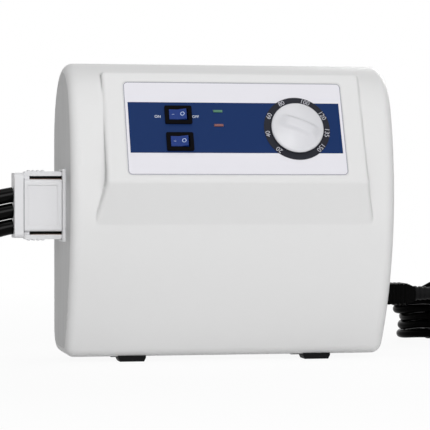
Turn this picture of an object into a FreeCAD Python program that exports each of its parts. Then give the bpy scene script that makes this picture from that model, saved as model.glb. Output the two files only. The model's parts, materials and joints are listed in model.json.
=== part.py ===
import FreeCAD, Part
import math
import os
import re

import Sketcher

# Alternating pressure mattress pump.
# Frame: +Z up, the console faces -Y, +X to the right as the user faces it.
# Origin: on the surface the pump stands on, under the middle of the case.

Vector = FreeCAD.Vector
Rotation = FreeCAD.Rotation
Placement = FreeCAD.Placement

# Driving dimensions: millimetres, and degrees where the name says lean, turn, tilt or angle.
SIZES = {
    # case: a barrel-fronted box, split into a deep front cover and a rear cover
    "case_width": 254.0,
    "case_depth": 118.0,
    "case_base": 4.0,
    "case_top": 232.5,
    "front_y": -49.0,
    "barrel_radius": 215.0,
    "barrel_z": 131.0,
    "top_radius": 50.0,
    "toe_radius": 14.0,
    "heel_radius": 20.0,
    "end_radius": 8.0,
    "wall": 2.5,
    "seam_depth": 80.0,
    # console: raised flat facet that leans back, above a facet that runs down into the barrel
    "console_lead": 14.5,
    "ridge_z": 140.0,
    "console_head_z": 224.5,
    "console_lean": 22.0,
    "console_half": 101.5,
    "console_flare": 9.5,
    "console_foot_z": 103.0,
    "console_toe": 3.5,
    "console_edge": 3.0,
    "console_blend": 60.0,
    "ridge_edge": 4.0,
    # label and what sits in it; "up" is measured along the facet from the ridge
    "label_width": 171.0,
    "label_height": 77.0,
    "label_up": 44.2,
    "label_thick": 0.5,
    "label_corner": 3.5,
    "label_gap": 0.2,
    "dial_across": 48.0,
    "dial_up": 44.2,
    "scale_radius": 26.0,
    "scale_thick": 0.4,
    "knob_radius": 20.5,
    "knob_height": 18.5,
    "knob_skirt": 4.5,
    "knob_lift": 1.0,
    "knob_scoop": 25.0,
    "knob_bar": 1.6,
    "dial_rest_turn": 112.0,
    "shaft_radius": 3.0,
    "running_gap": 0.05,
    "bushing_radius": 5.0,
    "nut_flats": 13.0,
    "nut_height": 2.5,
    "regulator_radius": 13.0,
    "regulator_depth": 27.0,
    # rocker switches
    "switch_across": -44.3,
    "power_up": 54.9,
    "mode_up": 32.7,
    "bezel_width": 21.0,
    "bezel_height": 15.0,
    "bezel_thick": 1.6,
    "bezel_rim": 3.0,
    "switch_depth": 18.0,
    "switch_gap": 0.2,
    "rocker_gap": 0.4,
    "rocker_tilt": 9.0,
    "rocker_pin": 1.0,
    # indicator lenses
    "lens_across": -13.2,
    "green_up": 58.5,
    "red_up": 46.7,
    "lens_width": 7.0,
    "lens_height": 1.8,
    "lens_proud": 0.5,
    "board_thick": 1.6,
    "board_out": 12.0,
    "panel_board_width": 60.0,
    "panel_board_height": 37.0,
    # case screws, posts and feet
    "post_inset": 15.0,
    "post_low_z": 28.0,
    "post_high_z": 195.5,
    "post_radius": 4.5,
    "screw_radius": 1.6,
    "screw_length": 35.0,
    "screw_seat": 16.0,
    "head_radius": 3.8,
    "head_height": 2.6,
    "foot_inset": 53.0,
    "foot_width": 22.0,
    "foot_length": 16.0,
    "foot_front": -5.0,
    "foot_rear": 43.0,
    # fold-out bed hooks in the rear cover
    "hook_across": 70.0,
    "hook_width": 22.0,
    "hook_thick": 4.0,
    "hook_reach": 70.0,
    "hook_lip": 13.0,
    "hook_pivot_z": 174.0,
    "hook_hub": 4.5,
    "hook_pin": 2.0,
    "pocket_gap": 2.0,
    "pocket_depth": 17.0,
    # air filter in the rear cover
    "filter_z": 60.0,
    "filter_window": 40.0,
    "filter_rim": 3.5,
    "filter_plate": 1.5,
    "filter_gap": 0.3,
    "filter_frame": 7.0,
    # hose socket in the left wall and the plug that fits it
    "socket_y": -2.0,
    "socket_z": 122.0,
    "socket_width": 24.0,
    "socket_height": 56.0,
    "flange": 2.5,
    "socket_depth": 20.0,
    "cavity_width": 18.4,
    "cavity_height": 42.0,
    "cavity_depth": 14.0,
    "hose_z": 118.0,
    "hose_pitch": 12.3,
    "hose_diameter": 12.0,
    "manifold_thick": 8.0,
    "nipple_radius": 2.8,
    "nipple_bore": 1.6,
    "plug_gap": 0.3,
    "plug_length": 29.5,
    "plug_width": 22.0,
    "plug_height": 40.0,
    "plug_round": 2.0,
    "panel_depth": 0.8,
    "end_plate": 7.0,
    "end_plate_height": 50.0,
    "end_plate_width": 25.0,
    "latch_thick": 3.6,
    "latch_width": 14.0,
    "latch_slot": 2.6,
    "latch_rib": 1.0,
    "latch_swing": 2.2,
    "latch_ledge": 5.0,
    "guard_thick": 1.6,
    "guard_gap": 1.0,
    # mains inlet in the right wall and the connector that fits it
    "inlet_y": 11.0,
    "inlet_z": 50.5,
    "inlet_width": 31.0,
    "inlet_height": 24.0,
    "inlet_body_width": 27.0,
    "inlet_body_height": 20.0,
    "inlet_depth": 22.0,
    "inlet_cavity_width": 24.2,
    "inlet_cavity_height": 16.4,
    "inlet_cavity_depth": 16.5,
    "inlet_bevel": 4.5,
    "grip_length": 27.0,
    "grip_width": 23.0,
    "grip_height": 15.6,
    "grip_taper": 2.6,
    "relief_length": 26.0,
    "lead_diameter": 7.0,
    # compressor, distributor and boards
    "tray_inset": 18.0,
    "tray_gap": 22.0,
    "tray_front": 40.0,
    "tray_width": 62.0,
    "tray_z": 14.5,
    "tray_thick": 4.0,
    "mount_radius": 6.0,
    "arm_z": 50.0,
    "arm_spread": 20.0,
    "arm_thick": 3.0,
    "arm_height": 20.0,
    "arm_length": 72.0,
    "arm_pin": 2.0,
    "bellows_radius": 14.0,
    "magnet_gap": 3.2,
    "valve_back": 30.0,
    "valve_length": 34.0,
    "valve_width": 14.0,
    "valve_height": 36.0,
    "outlet_spread": 8.0,
    "outlet_length": 12.0,
    "barb_radius": 2.4,
    "tube_bow": 30.0,
    "distributor_inset": 49.0,
    "distributor_side": 40.0,
    "distributor_thick": 13.0,
    "distributor_y": 14.0,
    "distributor_z": 112.0,
    "rotor_radius": 16.0,
    "rotor_thick": 5.0,
    "motor_radius": 18.0,
    "motor_height": 15.0,
    "tube_diameter": 7.0,
    "board_inset": 16.0,
    "board_length": 70.0,
    "board_width": 56.0,
    "board_y": 22.0,
    "board_stand": 12.0,
    # coils that the hoses and the lead lie in
    "hose_coil_x": -408.4,
    "hose_coil_y": 70.0,
    "hose_coil_radius": 72.0,
    "hose_end_length": 26.0,
    "hose_end_inset": 26.2,
    "hose_stub": 42.0,
    "coil_gap": 0.3,
    "lead_coil_x": 235.0,
    "lead_coil_y": 172.5,
    "lead_coil_radius": 42.0,
    "lead_turns": 6.5,
    "lead_stub": 30.6,
    "lead_tail": 42.0,
    "mains_plug_length": 20.0,
    "mains_plug_width": 25.0,
    "mains_plug_height": 21.0,
    "plug_relief": 16.0,
}

# The cords' routes, chosen by hand from the outlet to the coil.
HOSE_ROUTES = {
    "lower": [
        (-166.5, -2, 105.7), (-170.9, -2, 105.7), (-182.1, -2, 104.6), (-195, -2, 101.7),
        (-208.1, -2, 96.4), (-219.9, -2, 89.0), (-230.6, -2, 79.6), (-241, -2, 68.2),
        (-251.6, -2, 54.3), (-263.4, -2, 40.7), (-277.1, -2, 28.7), (-292.5, -2, 19.2),
        (-308.8, -2, 12.4), (-326, -2, 8.3), (-342.6, -2, 6.5), (-356.1, -2, 6.15),
        (-366.4, -2, 6.15),
    ],
    "middle": [
        (-166.5, -2, 118.0), (-171.5, -2, 118.0), (-184.2, -2, 116.8), (-199.1, -2, 113.4),
        (-214, -2, 107.2), (-227.7, -2, 98.8), (-239.6, -2, 88.4), (-250.9, -2, 76.0),
        (-261.5, -2, 62.0), (-272.6, -2, 49.4), (-284.8, -2, 38.5), (-298.5, -2, 30.0),
        (-312.9, -2, 24.1), (-328.2, -2, 20.4), (-343.4, -2, 18.8), (-356.2, -2, 18.45),
        (-366.4, -2, 18.45),
    ],
    "upper": [
        (-166.5, -2, 130.3), (-172.1, -2, 130.3), (-186.3, -2, 129.1), (-203.1, -2, 125.1),
        (-220, -2, 118.2), (-235.4, -2, 108.6), (-248.7, -2, 97.1), (-260.8, -2, 83.8),
        (-271.5, -2, 69.6), (-281.8, -2, 57.9), (-292.7, -2, 48.3), (-304.4, -2, 41.0),
        (-317.1, -2, 35.8), (-330.6, -2, 32.5), (-344.3, -2, 31.1), (-356.4, -2, 30.75),
        (-366.4, -2, 30.75),
    ],
}
LEAD_ROUTE = [
    (182.8, 11, 50.5), (200.0, 11, 50.5), (224.2, 7.7, 51.3), (248.9, 7.3, 53.2),
    (263.6, 12.1, 55.4), (275.0, 21.8, 57.8), (281.8, 35.2, 60.2), (283.0, 50.2, 62.2),
    (278.4, 64.4, 63.8), (268.7, 75.9, 64.8), (255.7, 83.4, 65.2), (243.5, 86.5, 65.0),
    (231.9, 88.1, 64.0), (219.4, 91.7, 61.0), (208.3, 98.4, 56.6), (199.9, 107.7, 50.8),
    (194.8, 119.1, 45.4), (193.0, 130.9, 42.2), (193.0, 141.9, 42.2),
]

doc = FreeCAD.newDocument("MattressPump")
sheet = doc.addObject("Spreadsheet::Sheet", "Sizes")
for row, (alias, number) in enumerate(SIZES.items(), 1):
    sheet.set(f"A{row}", alias)
    sheet.set(f"B{row}", str(number))
    sheet.setAlias(f"B{row}", alias)
doc.recompute()

NODES = []


def size(alias):
    """A driving dimension as the sheet holds it."""
    return float(sheet.get(alias))


def spelled(expression):
    """An expression in the sheet's aliases, as FreeCAD spells it."""
    return re.sub(r"[a-z_]+", lambda w: "Sizes." + w[0] if w[0] in SIZES else w[0], expression)


def worth(expression):
    """The number that an expression in the sheet's aliases stands for now."""
    found = sheet.evalExpression(spelled(expression))
    return float(getattr(found, "Value", found))


def bind(thing, prop, expression):
    thing.setExpression(prop, spelled(expression))


def put(thing, x="0", y="0", z="0", rotation=None):
    thing.Placement = Placement(Vector(0, 0, 0), rotation or Rotation())
    bind(thing, "Placement.Base.x", x)
    bind(thing, "Placement.Base.y", y)
    bind(thing, "Placement.Base.z", z)
    return thing


def node(name, thing):
    """Name a finished sub-part; its label is its file's name."""
    thing.Label = name
    NODES.append(thing)
    return thing


AXES = {
    "X": Rotation(Vector(0, 1, 0), 90),
    "Y": Rotation(Vector(1, 0, 0), -90),
    "Z": Rotation(),
}


def box(name, length, width, height, x, y, z):
    """A box from its lowest corner."""
    thing = doc.addObject("Part::Box", name)
    bind(thing, "Length", length)
    bind(thing, "Width", width)
    bind(thing, "Height", height)
    return put(thing, x, y, z)


def block(name, length, width, height, x, y, z):
    """A box centred on x and y, standing on z."""
    return box(name, length, width, height, f"{x} - ({length}) / 2", f"{y} - ({width}) / 2", z)


def centred(name, length, width, height, x, y, z):
    """A box centred on a point."""
    return block(name, length, width, height, x, y, f"{z} - ({height}) / 2")


def rod(name, radius, length, x, y, z, axis="Z"):
    thing = doc.addObject("Part::Cylinder", name)
    bind(thing, "Radius", radius)
    bind(thing, "Height", length)
    return put(thing, x, y, z, AXES[axis])


def cone(name, radius, end_radius, length, x, y, z, axis="Z"):
    thing = doc.addObject("Part::Cone", name)
    bind(thing, "Radius1", radius)
    bind(thing, "Radius2", end_radius)
    bind(thing, "Height", length)
    return put(thing, x, y, z, AXES[axis])


def fuse(name, *shapes):
    thing = doc.addObject("Part::MultiFuse", name)
    thing.Shapes = list(shapes)
    thing.Refine = True
    return thing


def cut(name, base, *tools):
    thing = doc.addObject("Part::Cut", name)
    thing.Base = base
    thing.Tool = tools[0] if len(tools) == 1 else fuse(name + "_tools", *tools)
    thing.Refine = True
    return thing


def common(name, base, tool):
    thing = doc.addObject("Part::Common", name)
    thing.Base = base
    thing.Tool = tool
    return thing


def group(name, *shapes):
    """Separate solids that share one node."""
    thing = doc.addObject("Part::Compound", name)
    thing.Links = list(shapes)
    return thing


def sketch_on(body, name, role, start=None):
    sketch = body.newObject("Sketcher::SketchObject", name)
    plane = [f for f in body.Origin.OriginFeatures if f.Role == role][0]
    sketch.AttachmentSupport = [(plane, "")]
    sketch.MapMode = "FlatFace"
    if start:
        bind(sketch, "AttachmentOffset.Base.z", start)
    return sketch


def hold(sketch, kind, edge, end, expression):
    """Hold a sketch point across or up from the sketch's origin."""
    at = sketch.addConstraint(Sketcher.Constraint(kind, -1, 1, edge, end, worth(expression)))
    bind(sketch, f"Constraints[{at}]", expression)


def fix_point(sketch, edge, end, x, y):
    """Hold a sketch point at a place given by two expressions."""
    hold(sketch, "DistanceX", edge, end, x)
    hold(sketch, "DistanceY", edge, end, y)


def polygon(body, name, role, corners, start=None, closed=True):
    """An outline whose corners are held by expressions; an open one leaves out its last side."""
    sketch = sketch_on(body, name, role, start)
    count = len(corners)
    ring = [Vector(worth(x), worth(y), 0) for x, y in corners]
    for k in range(count if closed else count - 1):
        sketch.addGeometry(Part.LineSegment(ring[k], ring[(k + 1) % count]))
    for k, (x, y) in enumerate(corners):
        if closed or 0 < k < count - 1:
            sketch.addConstraint(Sketcher.Constraint("Coincident", k, 1, (k - 1) % count, 2))
        if closed or k < count - 1:
            fix_point(sketch, k, 1, x, y)
        else:
            fix_point(sketch, k - 1, 2, x, y)
    return sketch


def pad(body, sketch, length, both_ways=False):
    feature = body.newObject("PartDesign::Pad", sketch.Name + "_pad")
    feature.Profile = sketch
    feature.SideType = "Symmetric" if both_ways else "One side"
    bind(feature, "Length", length)
    return feature


def prism(name, role, corners, length, start=None):
    """A body padded from a polygon, both ways from its plane or one way from start."""
    body = doc.addObject("PartDesign::Body", name)
    pad(body, polygon(body, name + "_outline", role, corners, start), length, start is None)
    return body


def turned(name, corners):
    """A body revolved about Z from its half outline in the XZ plane."""
    body = doc.addObject("PartDesign::Body", name)
    sketch = polygon(body, name + "_half", "XZ_Plane", corners)
    feature = body.newObject("PartDesign::Revolution", name + "_turn")
    feature.Profile = sketch
    feature.ReferenceAxis = (sketch, ["V_Axis"])
    feature.Angle = 360
    return body


def edges_where(shape, wanted):
    return [f"Edge{k}" for k, edge in enumerate(shape.Edges, 1) if wanted(edge)]


def rounded(body, name, wanted, radius):
    """Fillet the edges of a body's tip that pass a test."""
    doc.recompute()
    base = body.Tip
    feature = body.newObject("PartDesign::Fillet", name)
    feature.Base = (base, edges_where(base.Shape, wanted))
    bind(feature, "Radius", radius)
    return feature


def along(edge, direction):
    """Whether an edge is straight and runs along a direction."""
    if not isinstance(edge.Curve, Part.Line):
        return False
    return abs(edge.Curve.Direction.dot(direction)) > 0.999


# ---- case ------------------------------------------------------------------------------------


def arc(sketch, centre, radius, start, end):
    circle = Part.Circle(Vector(*centre, 0), Vector(0, 0, 1), radius)
    return sketch.addGeometry(Part.ArcOfCircle(circle, math.radians(start), math.radians(end)))


def barrel(name, inset):
    """The case's solid form: front, top, rear and base in tangent arcs, inset by some depth."""
    body = doc.addObject("PartDesign::Body", name)
    sketch = sketch_on(body, name + "_side", "YZ_Plane")
    in_by = size("wall") * inset
    front, rear = size("front_y"), size("front_y") + size("case_depth")
    top, base = size("case_top"), size("case_base")
    big, middle = size("barrel_radius"), (size("front_y") + size("barrel_radius"), size("barrel_z"))
    brow, toe, heel = size("top_radius"), size("toe_radius"), size("heel_radius")
    brow_up, toe_down = top - brow - middle[1], middle[1] - base - toe
    brow_y = middle[0] - math.sqrt((big - brow) ** 2 - brow_up**2)
    toe_y = middle[0] - math.sqrt((big - toe) ** 2 - toe_down**2)
    brow_angle = 180 - math.degrees(math.asin(brow_up / (big - brow)))
    toe_angle = 180 + math.degrees(math.asin(toe_down / (big - toe)))
    crown = rear - brow_y
    edges = [
        arc(sketch, (brow_y, top - brow), brow - in_by, 90, brow_angle),
        arc(sketch, middle, big - in_by, brow_angle, toe_angle),
        arc(sketch, (toe_y, base + toe), toe - in_by, toe_angle, 270),
        sketch.addGeometry(
            Part.LineSegment(Vector(toe_y, base + in_by, 0), Vector(rear - heel, base + in_by, 0))
        ),
        arc(sketch, (rear - heel, base + heel), heel - in_by, 270, 360),
        sketch.addGeometry(
            Part.LineSegment(Vector(rear - in_by, base + heel, 0), Vector(rear - in_by, top - crown, 0))
        ),
        arc(sketch, (brow_y, top - crown), crown - in_by, 0, 90),
    ]
    brow_arc, front_arc, toe_arc, base_line, heel_arc, rear_line, crown_arc = edges
    for k, edge in enumerate(edges):
        following = edges[(k + 1) % len(edges)]
        sketch.addConstraint(Sketcher.Constraint("Tangent", edge, 2, following, 1))
    sketch.addConstraint(Sketcher.Constraint("Horizontal", base_line))
    sketch.addConstraint(Sketcher.Constraint("Vertical", rear_line))
    sketch.addConstraint(Sketcher.Constraint("Vertical", brow_arc, 3, brow_arc, 1))
    depth = f"wall * {inset}"
    radii = ((brow_arc, "top_radius"), (front_arc, "barrel_radius"), (toe_arc, "toe_radius"))
    for edge, alias in radii + ((heel_arc, "heel_radius"),):
        at = sketch.addConstraint(Sketcher.Constraint("Radius", edge, size(alias) - in_by))
        bind(sketch, f"Constraints[{at}]", f"{alias} - {depth}")
    hold(sketch, "DistanceX", front_arc, 3, "front_y + barrel_radius")
    hold(sketch, "DistanceY", front_arc, 3, "barrel_z")
    hold(sketch, "DistanceY", brow_arc, 1, "case_top - " + depth)
    hold(sketch, "DistanceY", base_line, 1, "case_base + " + depth)
    hold(sketch, "DistanceX", rear_line, 1, "front_y + case_depth - " + depth)
    pad(body, sketch, f"case_width - 2 * {depth}", both_ways=True)
    half = size("case_width") / 2 - in_by
    rounded(
        body,
        name + "_ends",
        lambda edge: abs(abs(edge.CenterOfMass.x) - half) < 0.01,
        f"end_radius - {depth}",
    )
    return body


def console(name, inset):
    """The raised console: leaning label facet, ridge, and a flared facet below it."""
    depth = f"wall * {inset}"
    back = f"{depth} / cos(console_lean * 1deg)"
    lead = f"(front_y - console_lead + {back})"
    head = f"(console_head_z - {depth})"
    lean = "tan(console_lean * 1deg)"
    body = doc.addObject("PartDesign::Body", name)
    side = [
        (lead, "ridge_z"),
        (f"{lead} + ({head} - ridge_z) * {lean}", head),
        ("front_y + seam_depth - 15", head),
        ("front_y + seam_depth - 15", "console_foot_z"),
        (f"front_y + console_toe + {back}", "console_foot_z"),
    ]
    wide = f"2 * (console_half + console_flare - {depth})"
    pad(body, polygon(body, name + "_side", "YZ_Plane", side), wide, both_ways=True)
    trim_sides(body, name, depth)
    if inset == 0:
        soften_console(body, name)
    return body


def trim_sides(body, name, depth):
    """Cut the console's sides: upright beside the label, then blended out into the flare."""
    tilt = "atan(console_flare / (ridge_z - console_foot_z))"
    blend = f"(console_blend + {depth})"
    reach = f"{blend} * tan({tilt} / 2)"
    near, far = f"(console_half - {depth})", "(console_half + console_flare + 5)"
    corners = [
        (near, f"ridge_z + {reach}"),
        (near, "console_head_z + 5"),
        (far, "console_head_z + 5"),
        (far, "console_foot_z"),
        (f"{near} + console_flare", "console_foot_z"),
        (f"{near} + {reach} * sin({tilt})", f"ridge_z - {reach} * cos({tilt})"),
    ]
    sketch = polygon(body, name + "_trim", "XZ_Plane", corners, closed=False)
    middle = (worth(f"{near} + {blend}"), worth(f"ridge_z + {reach}"))
    bend = arc(sketch, middle, worth(blend), 180, 180 + worth(tilt))
    sketch.addConstraint(Sketcher.Constraint("Coincident", bend, 1, 0, 1))
    sketch.addConstraint(Sketcher.Constraint("Coincident", bend, 2, len(corners) - 2, 2))
    at = sketch.addConstraint(Sketcher.Constraint("Radius", bend, worth(blend)))
    bind(sketch, f"Constraints[{at}]", blend)
    pocket = body.newObject("PartDesign::Pocket", name + "_right_cut")
    pocket.Profile = sketch
    pocket.SideType = "Symmetric"
    pocket.Type = "ThroughAll"
    mirror = body.newObject("PartDesign::Mirrored", name + "_left_cut")
    mirror.Originals = [pocket]
    plane = [f for f in body.Origin.OriginFeatures if f.Role == "YZ_Plane"][0]
    mirror.MirrorPlane = (plane, [""])
    body.Tip = mirror


def soften_console(body, name):
    """Round the console's ridge, then its sides and the top edge."""
    half, ridge_z, head_z = size("console_half"), size("ridge_z"), size("console_head_z")
    ridge_y = size("front_y") - size("console_lead")

    def ridge(edge):
        return along(edge, Vector(1, 0, 0)) and edge.CenterOfMass.y < ridge_y + 0.01

    def head(edge):
        middle = edge.CenterOfMass
        return along(edge, Vector(1, 0, 0)) and middle.z > head_z - 0.01 and middle.y < 0

    def rim(edge):
        middle = edge.CenterOfMass
        beside = abs(middle.x) > half - 0.01
        leans = not along(edge, Vector(0, 0, 1)) and edge.Length > 20
        return head(edge) or (beside and leans and middle.z > ridge_z + 10)

    rounded(body, name + "_ridge", ridge, "ridge_edge")
    rounded(body, name + "_rim", rim, "console_edge")


def on_facet(thing, across="0", up="0", out="0"):
    """Place a piece that is drawn flat: x across the label facet, y up it, z out of it."""
    lean = "console_lean * 1deg"
    put(
        thing,
        across,
        f"front_y - console_lead + ({up}) * sin({lean}) - ({out}) * cos({lean})",
        f"ridge_z + ({up}) * cos({lean}) + ({out}) * sin({lean})",
        Rotation(Vector(1, 0, 0), 68),
    )
    bind(thing, "Placement.Rotation.Angle", "90deg - console_lean * 1deg")
    return thing


def rounded_plate(name, width, height, thick, corner, x, y, z):
    """A flat plate with rounded corners, centred on x and y."""
    body = doc.addObject("PartDesign::Body", name)
    half_w, half_h = f"({width}) / 2", f"({height}) / 2"
    corners = [
        (f"-{half_w}", f"-{half_h}"),
        (half_w, f"-{half_h}"),
        (half_w, half_h),
        (f"-{half_w}", half_h),
    ]
    pad(body, polygon(body, name + "_outline", "XY_Plane", corners), thick)
    rounded(body, name + "_corners", lambda e: along(e, Vector(0, 0, 1)), corner)
    return put(body, x, y, z)


outer_barrel = barrel("outer_barrel", 0)
inner_barrel = barrel("inner_barrel", 1)
case_outer = fuse("case_outer", outer_barrel, console("outer_console", 0))
case_inner = fuse("case_inner", inner_barrel, console("inner_console", 1))
case_shell = cut("case_shell", case_outer, case_inner)
SEAM_Y = "(front_y + seam_depth)"
REAR_Y = "(front_y + case_depth)"
front_half = box(
    "front_half", "case_width + 20", "seam_depth + 60", "case_top + 20",
    "-case_width / 2 - 10", "front_y - 60", "-10",
)


POST_X = "(case_width / 2 - post_inset)"


def posts(name, radius, start, length):
    """Four rods along Y at the case screws."""
    rods = [
        rod(f"{name}_{hand}_{z}", radius, length, f"{sign}{POST_X}", start, z, "Y")
        for hand, sign in (("left", "-"), ("right", ""))
        for z in ("post_low_z", "post_high_z")
    ]
    return fuse(name, *rods)


def facet_openings():
    """What the front cover's facet is cut by: label recess, switches, lenses and dial bushing."""
    recess = rounded_plate(
        "label_recess", "label_width + 2 * label_gap", "label_height + 2 * label_gap",
        "label_thick + 1", "label_corner", "0", "label_up", "-label_thick",
    )
    holes = [recess] + through_holes("cover")
    return on_facet(fuse("facet_openings", *holes))


def through_holes(name):
    """Holes through the label and the wall behind it, in the facet's own frame."""
    tall, deep = "wall + label_thick + 6", "-wall - 4"
    holes = [
        block(f"{name}_{which}_window", "bezel_width - bezel_rim + 2 * switch_gap - 0.2",
              "bezel_height - bezel_rim + 2 * switch_gap - 0.2", tall, "switch_across", up, deep)
        for which, up in (("power", "power_up"), ("mode", "mode_up"))
    ]
    holes += [
        block(f"{name}_{colour}_slot", "lens_width + 2 * switch_gap", "lens_height + 2 * switch_gap",
              tall, "lens_across", up, deep)
        for colour, up in (("green", "green_up"), ("red", "red_up"))
    ]
    holes.append(
        rod(f"{name}_bushing_hole", "bushing_radius + switch_gap", tall, "dial_across", "dial_up", deep)
    )
    return holes


def front_cover():
    bosses = common(
        "front_bosses",
        posts("front_posts", "post_radius", "front_y", "seam_depth"),
        case_outer,
    )
    board_posts = on_facet(
        fuse(
            "board_posts",
            rod("board_post_low", "2.5", "board_out - wall + 0.5", "-26", "39", "-board_out"),
            rod("board_post_high", "2.5", "board_out - wall + 0.5", "26", "68", "-board_out"),
        )
    )
    walls = common("front_walls", case_shell, front_half)
    solid = fuse("front_solid", walls, bosses, board_posts)
    left = box(
        "socket_hole", "wall + 4", "socket_width - 4 + 2 * plug_gap", "socket_height - 10 + 2 * plug_gap",
        "-case_width / 2 - 2", "socket_y - socket_width / 2 + 2 - plug_gap",
        "socket_z - socket_height / 2 + 5 - plug_gap",
    )
    right = box(
        "inlet_hole", "wall + 4", "inlet_body_width + 2 * plug_gap", "inlet_body_height + 2 * plug_gap",
        "case_width / 2 - wall - 2", "inlet_y - inlet_body_width / 2 - plug_gap",
        "inlet_z - inlet_body_height / 2 - plug_gap",
    )
    pilots = posts("pilot_holes", "screw_radius + running_gap", f"{SEAM_Y} - 22", "24")
    return node("front_cover", cut("front_cover", solid, facet_openings(), left, right, pilots))


def hook_pockets(name, grow, depth, start_y):
    """The pair of pockets that the hooks fold into, or the walls round them."""
    tall = "(hook_reach + hook_hub + pocket_gap + 8)"
    return fuse(
        name,
        *[
            box(
                f"{name}_{hand}",
                f"hook_width + 2 * pocket_gap + 2 * ({grow})",
                depth,
                f"{tall} + 2 * ({grow})",
                f"{sign}hook_across - hook_width / 2 - pocket_gap - ({grow})",
                start_y,
                f"hook_pivot_z - hook_reach - 6 - ({grow})",
            )
            for hand, sign in (("left", "-"), ("right", ""))
        ],
    )


def rear_cover():
    bosses = common(
        "rear_bosses",
        posts("rear_posts", "post_radius + 1", SEAM_Y, "case_depth - seam_depth"),
        case_outer,
    )
    pocket_walls = common(
        "pocket_walls",
        hook_pockets("pocket_blocks", "wall", "pocket_depth + wall", f"{REAR_Y} - pocket_depth - wall"),
        case_outer,
    )
    solid = fuse("rear_solid", cut("rear_walls", case_shell, front_half), bosses, pocket_walls)
    voids = hook_pockets("pocket_voids", "0", "pocket_depth + 5", f"{REAR_Y} - pocket_depth")
    seat = f"{SEAM_Y} + screw_seat"
    clear = posts("screw_clearance", "screw_radius + 0.5", f"{SEAM_Y} - 1", "screw_seat + 2")
    sunk = posts("screw_counterbores", "head_radius + 0.4", seat, "case_depth")
    window = centred(
        "filter_opening", "filter_window", "20", "filter_window", "0", REAR_Y, "filter_z"
    )
    return node("rear_cover", cut("rear_cover", solid, voids, clear, sunk, window))


def case_screws():
    screws = []
    for hand, sign in (("left", "-"), ("right", "")):
        for z in ("post_low_z", "post_high_z"):
            x, seat = f"{sign}{POST_X}", f"{SEAM_Y} + screw_seat"
            stem = rod(f"stem_{hand}_{z}", "screw_radius", "screw_length", x, f"{seat} - screw_length", z, "Y")
            head = rod(f"head_{hand}_{z}", "head_radius", "head_height", x, seat, z, "Y")
            screws.append(fuse(f"screw_{hand}_{z}", stem, head))
    return node("case_screws", group("case_screws", *screws))


def feet():
    """Four rubber feet, tapered at their ends, that follow the underside's curve."""
    found = []
    for hand, sign in (("left", "-"), ("right", "")):
        for where in ("front", "rear"):
            name = f"foot_{where}_{hand}"
            middle = f"{sign}(case_width / 2 - foot_inset)"
            outline = [
                (f"{middle} - foot_width / 2 + 1.5", "0"),
                (f"{middle} + foot_width / 2 - 1.5", "0"),
                (f"{middle} + foot_width / 2", "3"),
                (f"{middle} + foot_width / 2", "case_base + 8"),
                (f"{middle} - foot_width / 2", "case_base + 8"),
                (f"{middle} - foot_width / 2", "3"),
            ]
            # the outline's plane faces -Y, so the pad runs forward from the foot's rear face
            pad_block = prism(name + "_block", "XZ_Plane", outline, "foot_length",
                              f"-(foot_{where} + foot_length)")
            found.append(cut(name, pad_block, outer_barrel))
    node("rubber_feet", group("rubber_feet", *found))


# ---- control panel ---------------------------------------------------------------------------


def control_label():
    plate = rounded_plate(
        "label_plate", "label_width", "label_height", "label_thick", "label_corner",
        "0", "label_up", "-label_thick",
    )
    return node("control_label", on_facet(cut("control_label", plate, *through_holes("label"))))


def dial_scale():
    disc = rod("scale_disc", "scale_radius", "scale_thick", "dial_across", "dial_up", "0")
    hole = rod("scale_hole", "nut_flats * 0.62", "scale_thick + 2", "dial_across", "dial_up", "-1")
    return node("dial_scale", on_facet(cut("dial_scale", disc, hole)))


def dial_knob():
    """A skirted knob: its body is scooped hollow on both sides of a waisted grip bar."""
    outline = [
        ("shaft_radius + running_gap", "knob_skirt"),
        ("knob_radius - 2.8", "knob_skirt"),
        ("knob_radius - 2.8", "knob_lift"),
        ("knob_radius", "knob_lift"),
        ("knob_radius", "knob_skirt"),
        ("knob_radius - 1.2", "knob_skirt + 1.3"),
        ("knob_radius - 4", "knob_skirt + 3.6"),
        ("knob_radius - 5.6", "knob_height - 1.4"),
        ("knob_radius - 7.2", "knob_height"),
        ("0", "knob_height"),
        ("0", "knob_height - 4.5"),
        ("shaft_radius + running_gap", "knob_height - 4.5"),
    ]
    form = turned("knob_form", outline)
    scoop_z = "(knob_skirt + 1.6 + knob_scoop)"
    scoop_y = f"(knob_bar + sqrt(knob_scoop^2 - ({scoop_z} - knob_height)^2))"
    scoops = []
    for side, sign in (("near", "-"), ("far", "")):
        scoop = doc.addObject("Part::Sphere", f"scoop_{side}")
        bind(scoop, "Radius", "knob_scoop")
        scoops.append(put(scoop, "0", f"{sign}{scoop_y}", scoop_z))
    pointer = box("pointer_groove", "knob_radius", "1.0", "2", "5", "-0.5", "knob_height - 0.6")
    carving = fuse("knob_carving", *scoops, pointer)
    # turned clockwise from straight up, as the user sees it
    put(carving, rotation=Rotation(Vector(0, 0, -1), 22))
    bind(carving, "Placement.Rotation.Angle", "dial_rest_turn * 1deg - 90deg")
    knob = cut("dial_knob", form, carving)
    return node("dial_knob", on_facet(knob, "dial_across", "dial_up"))


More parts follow.
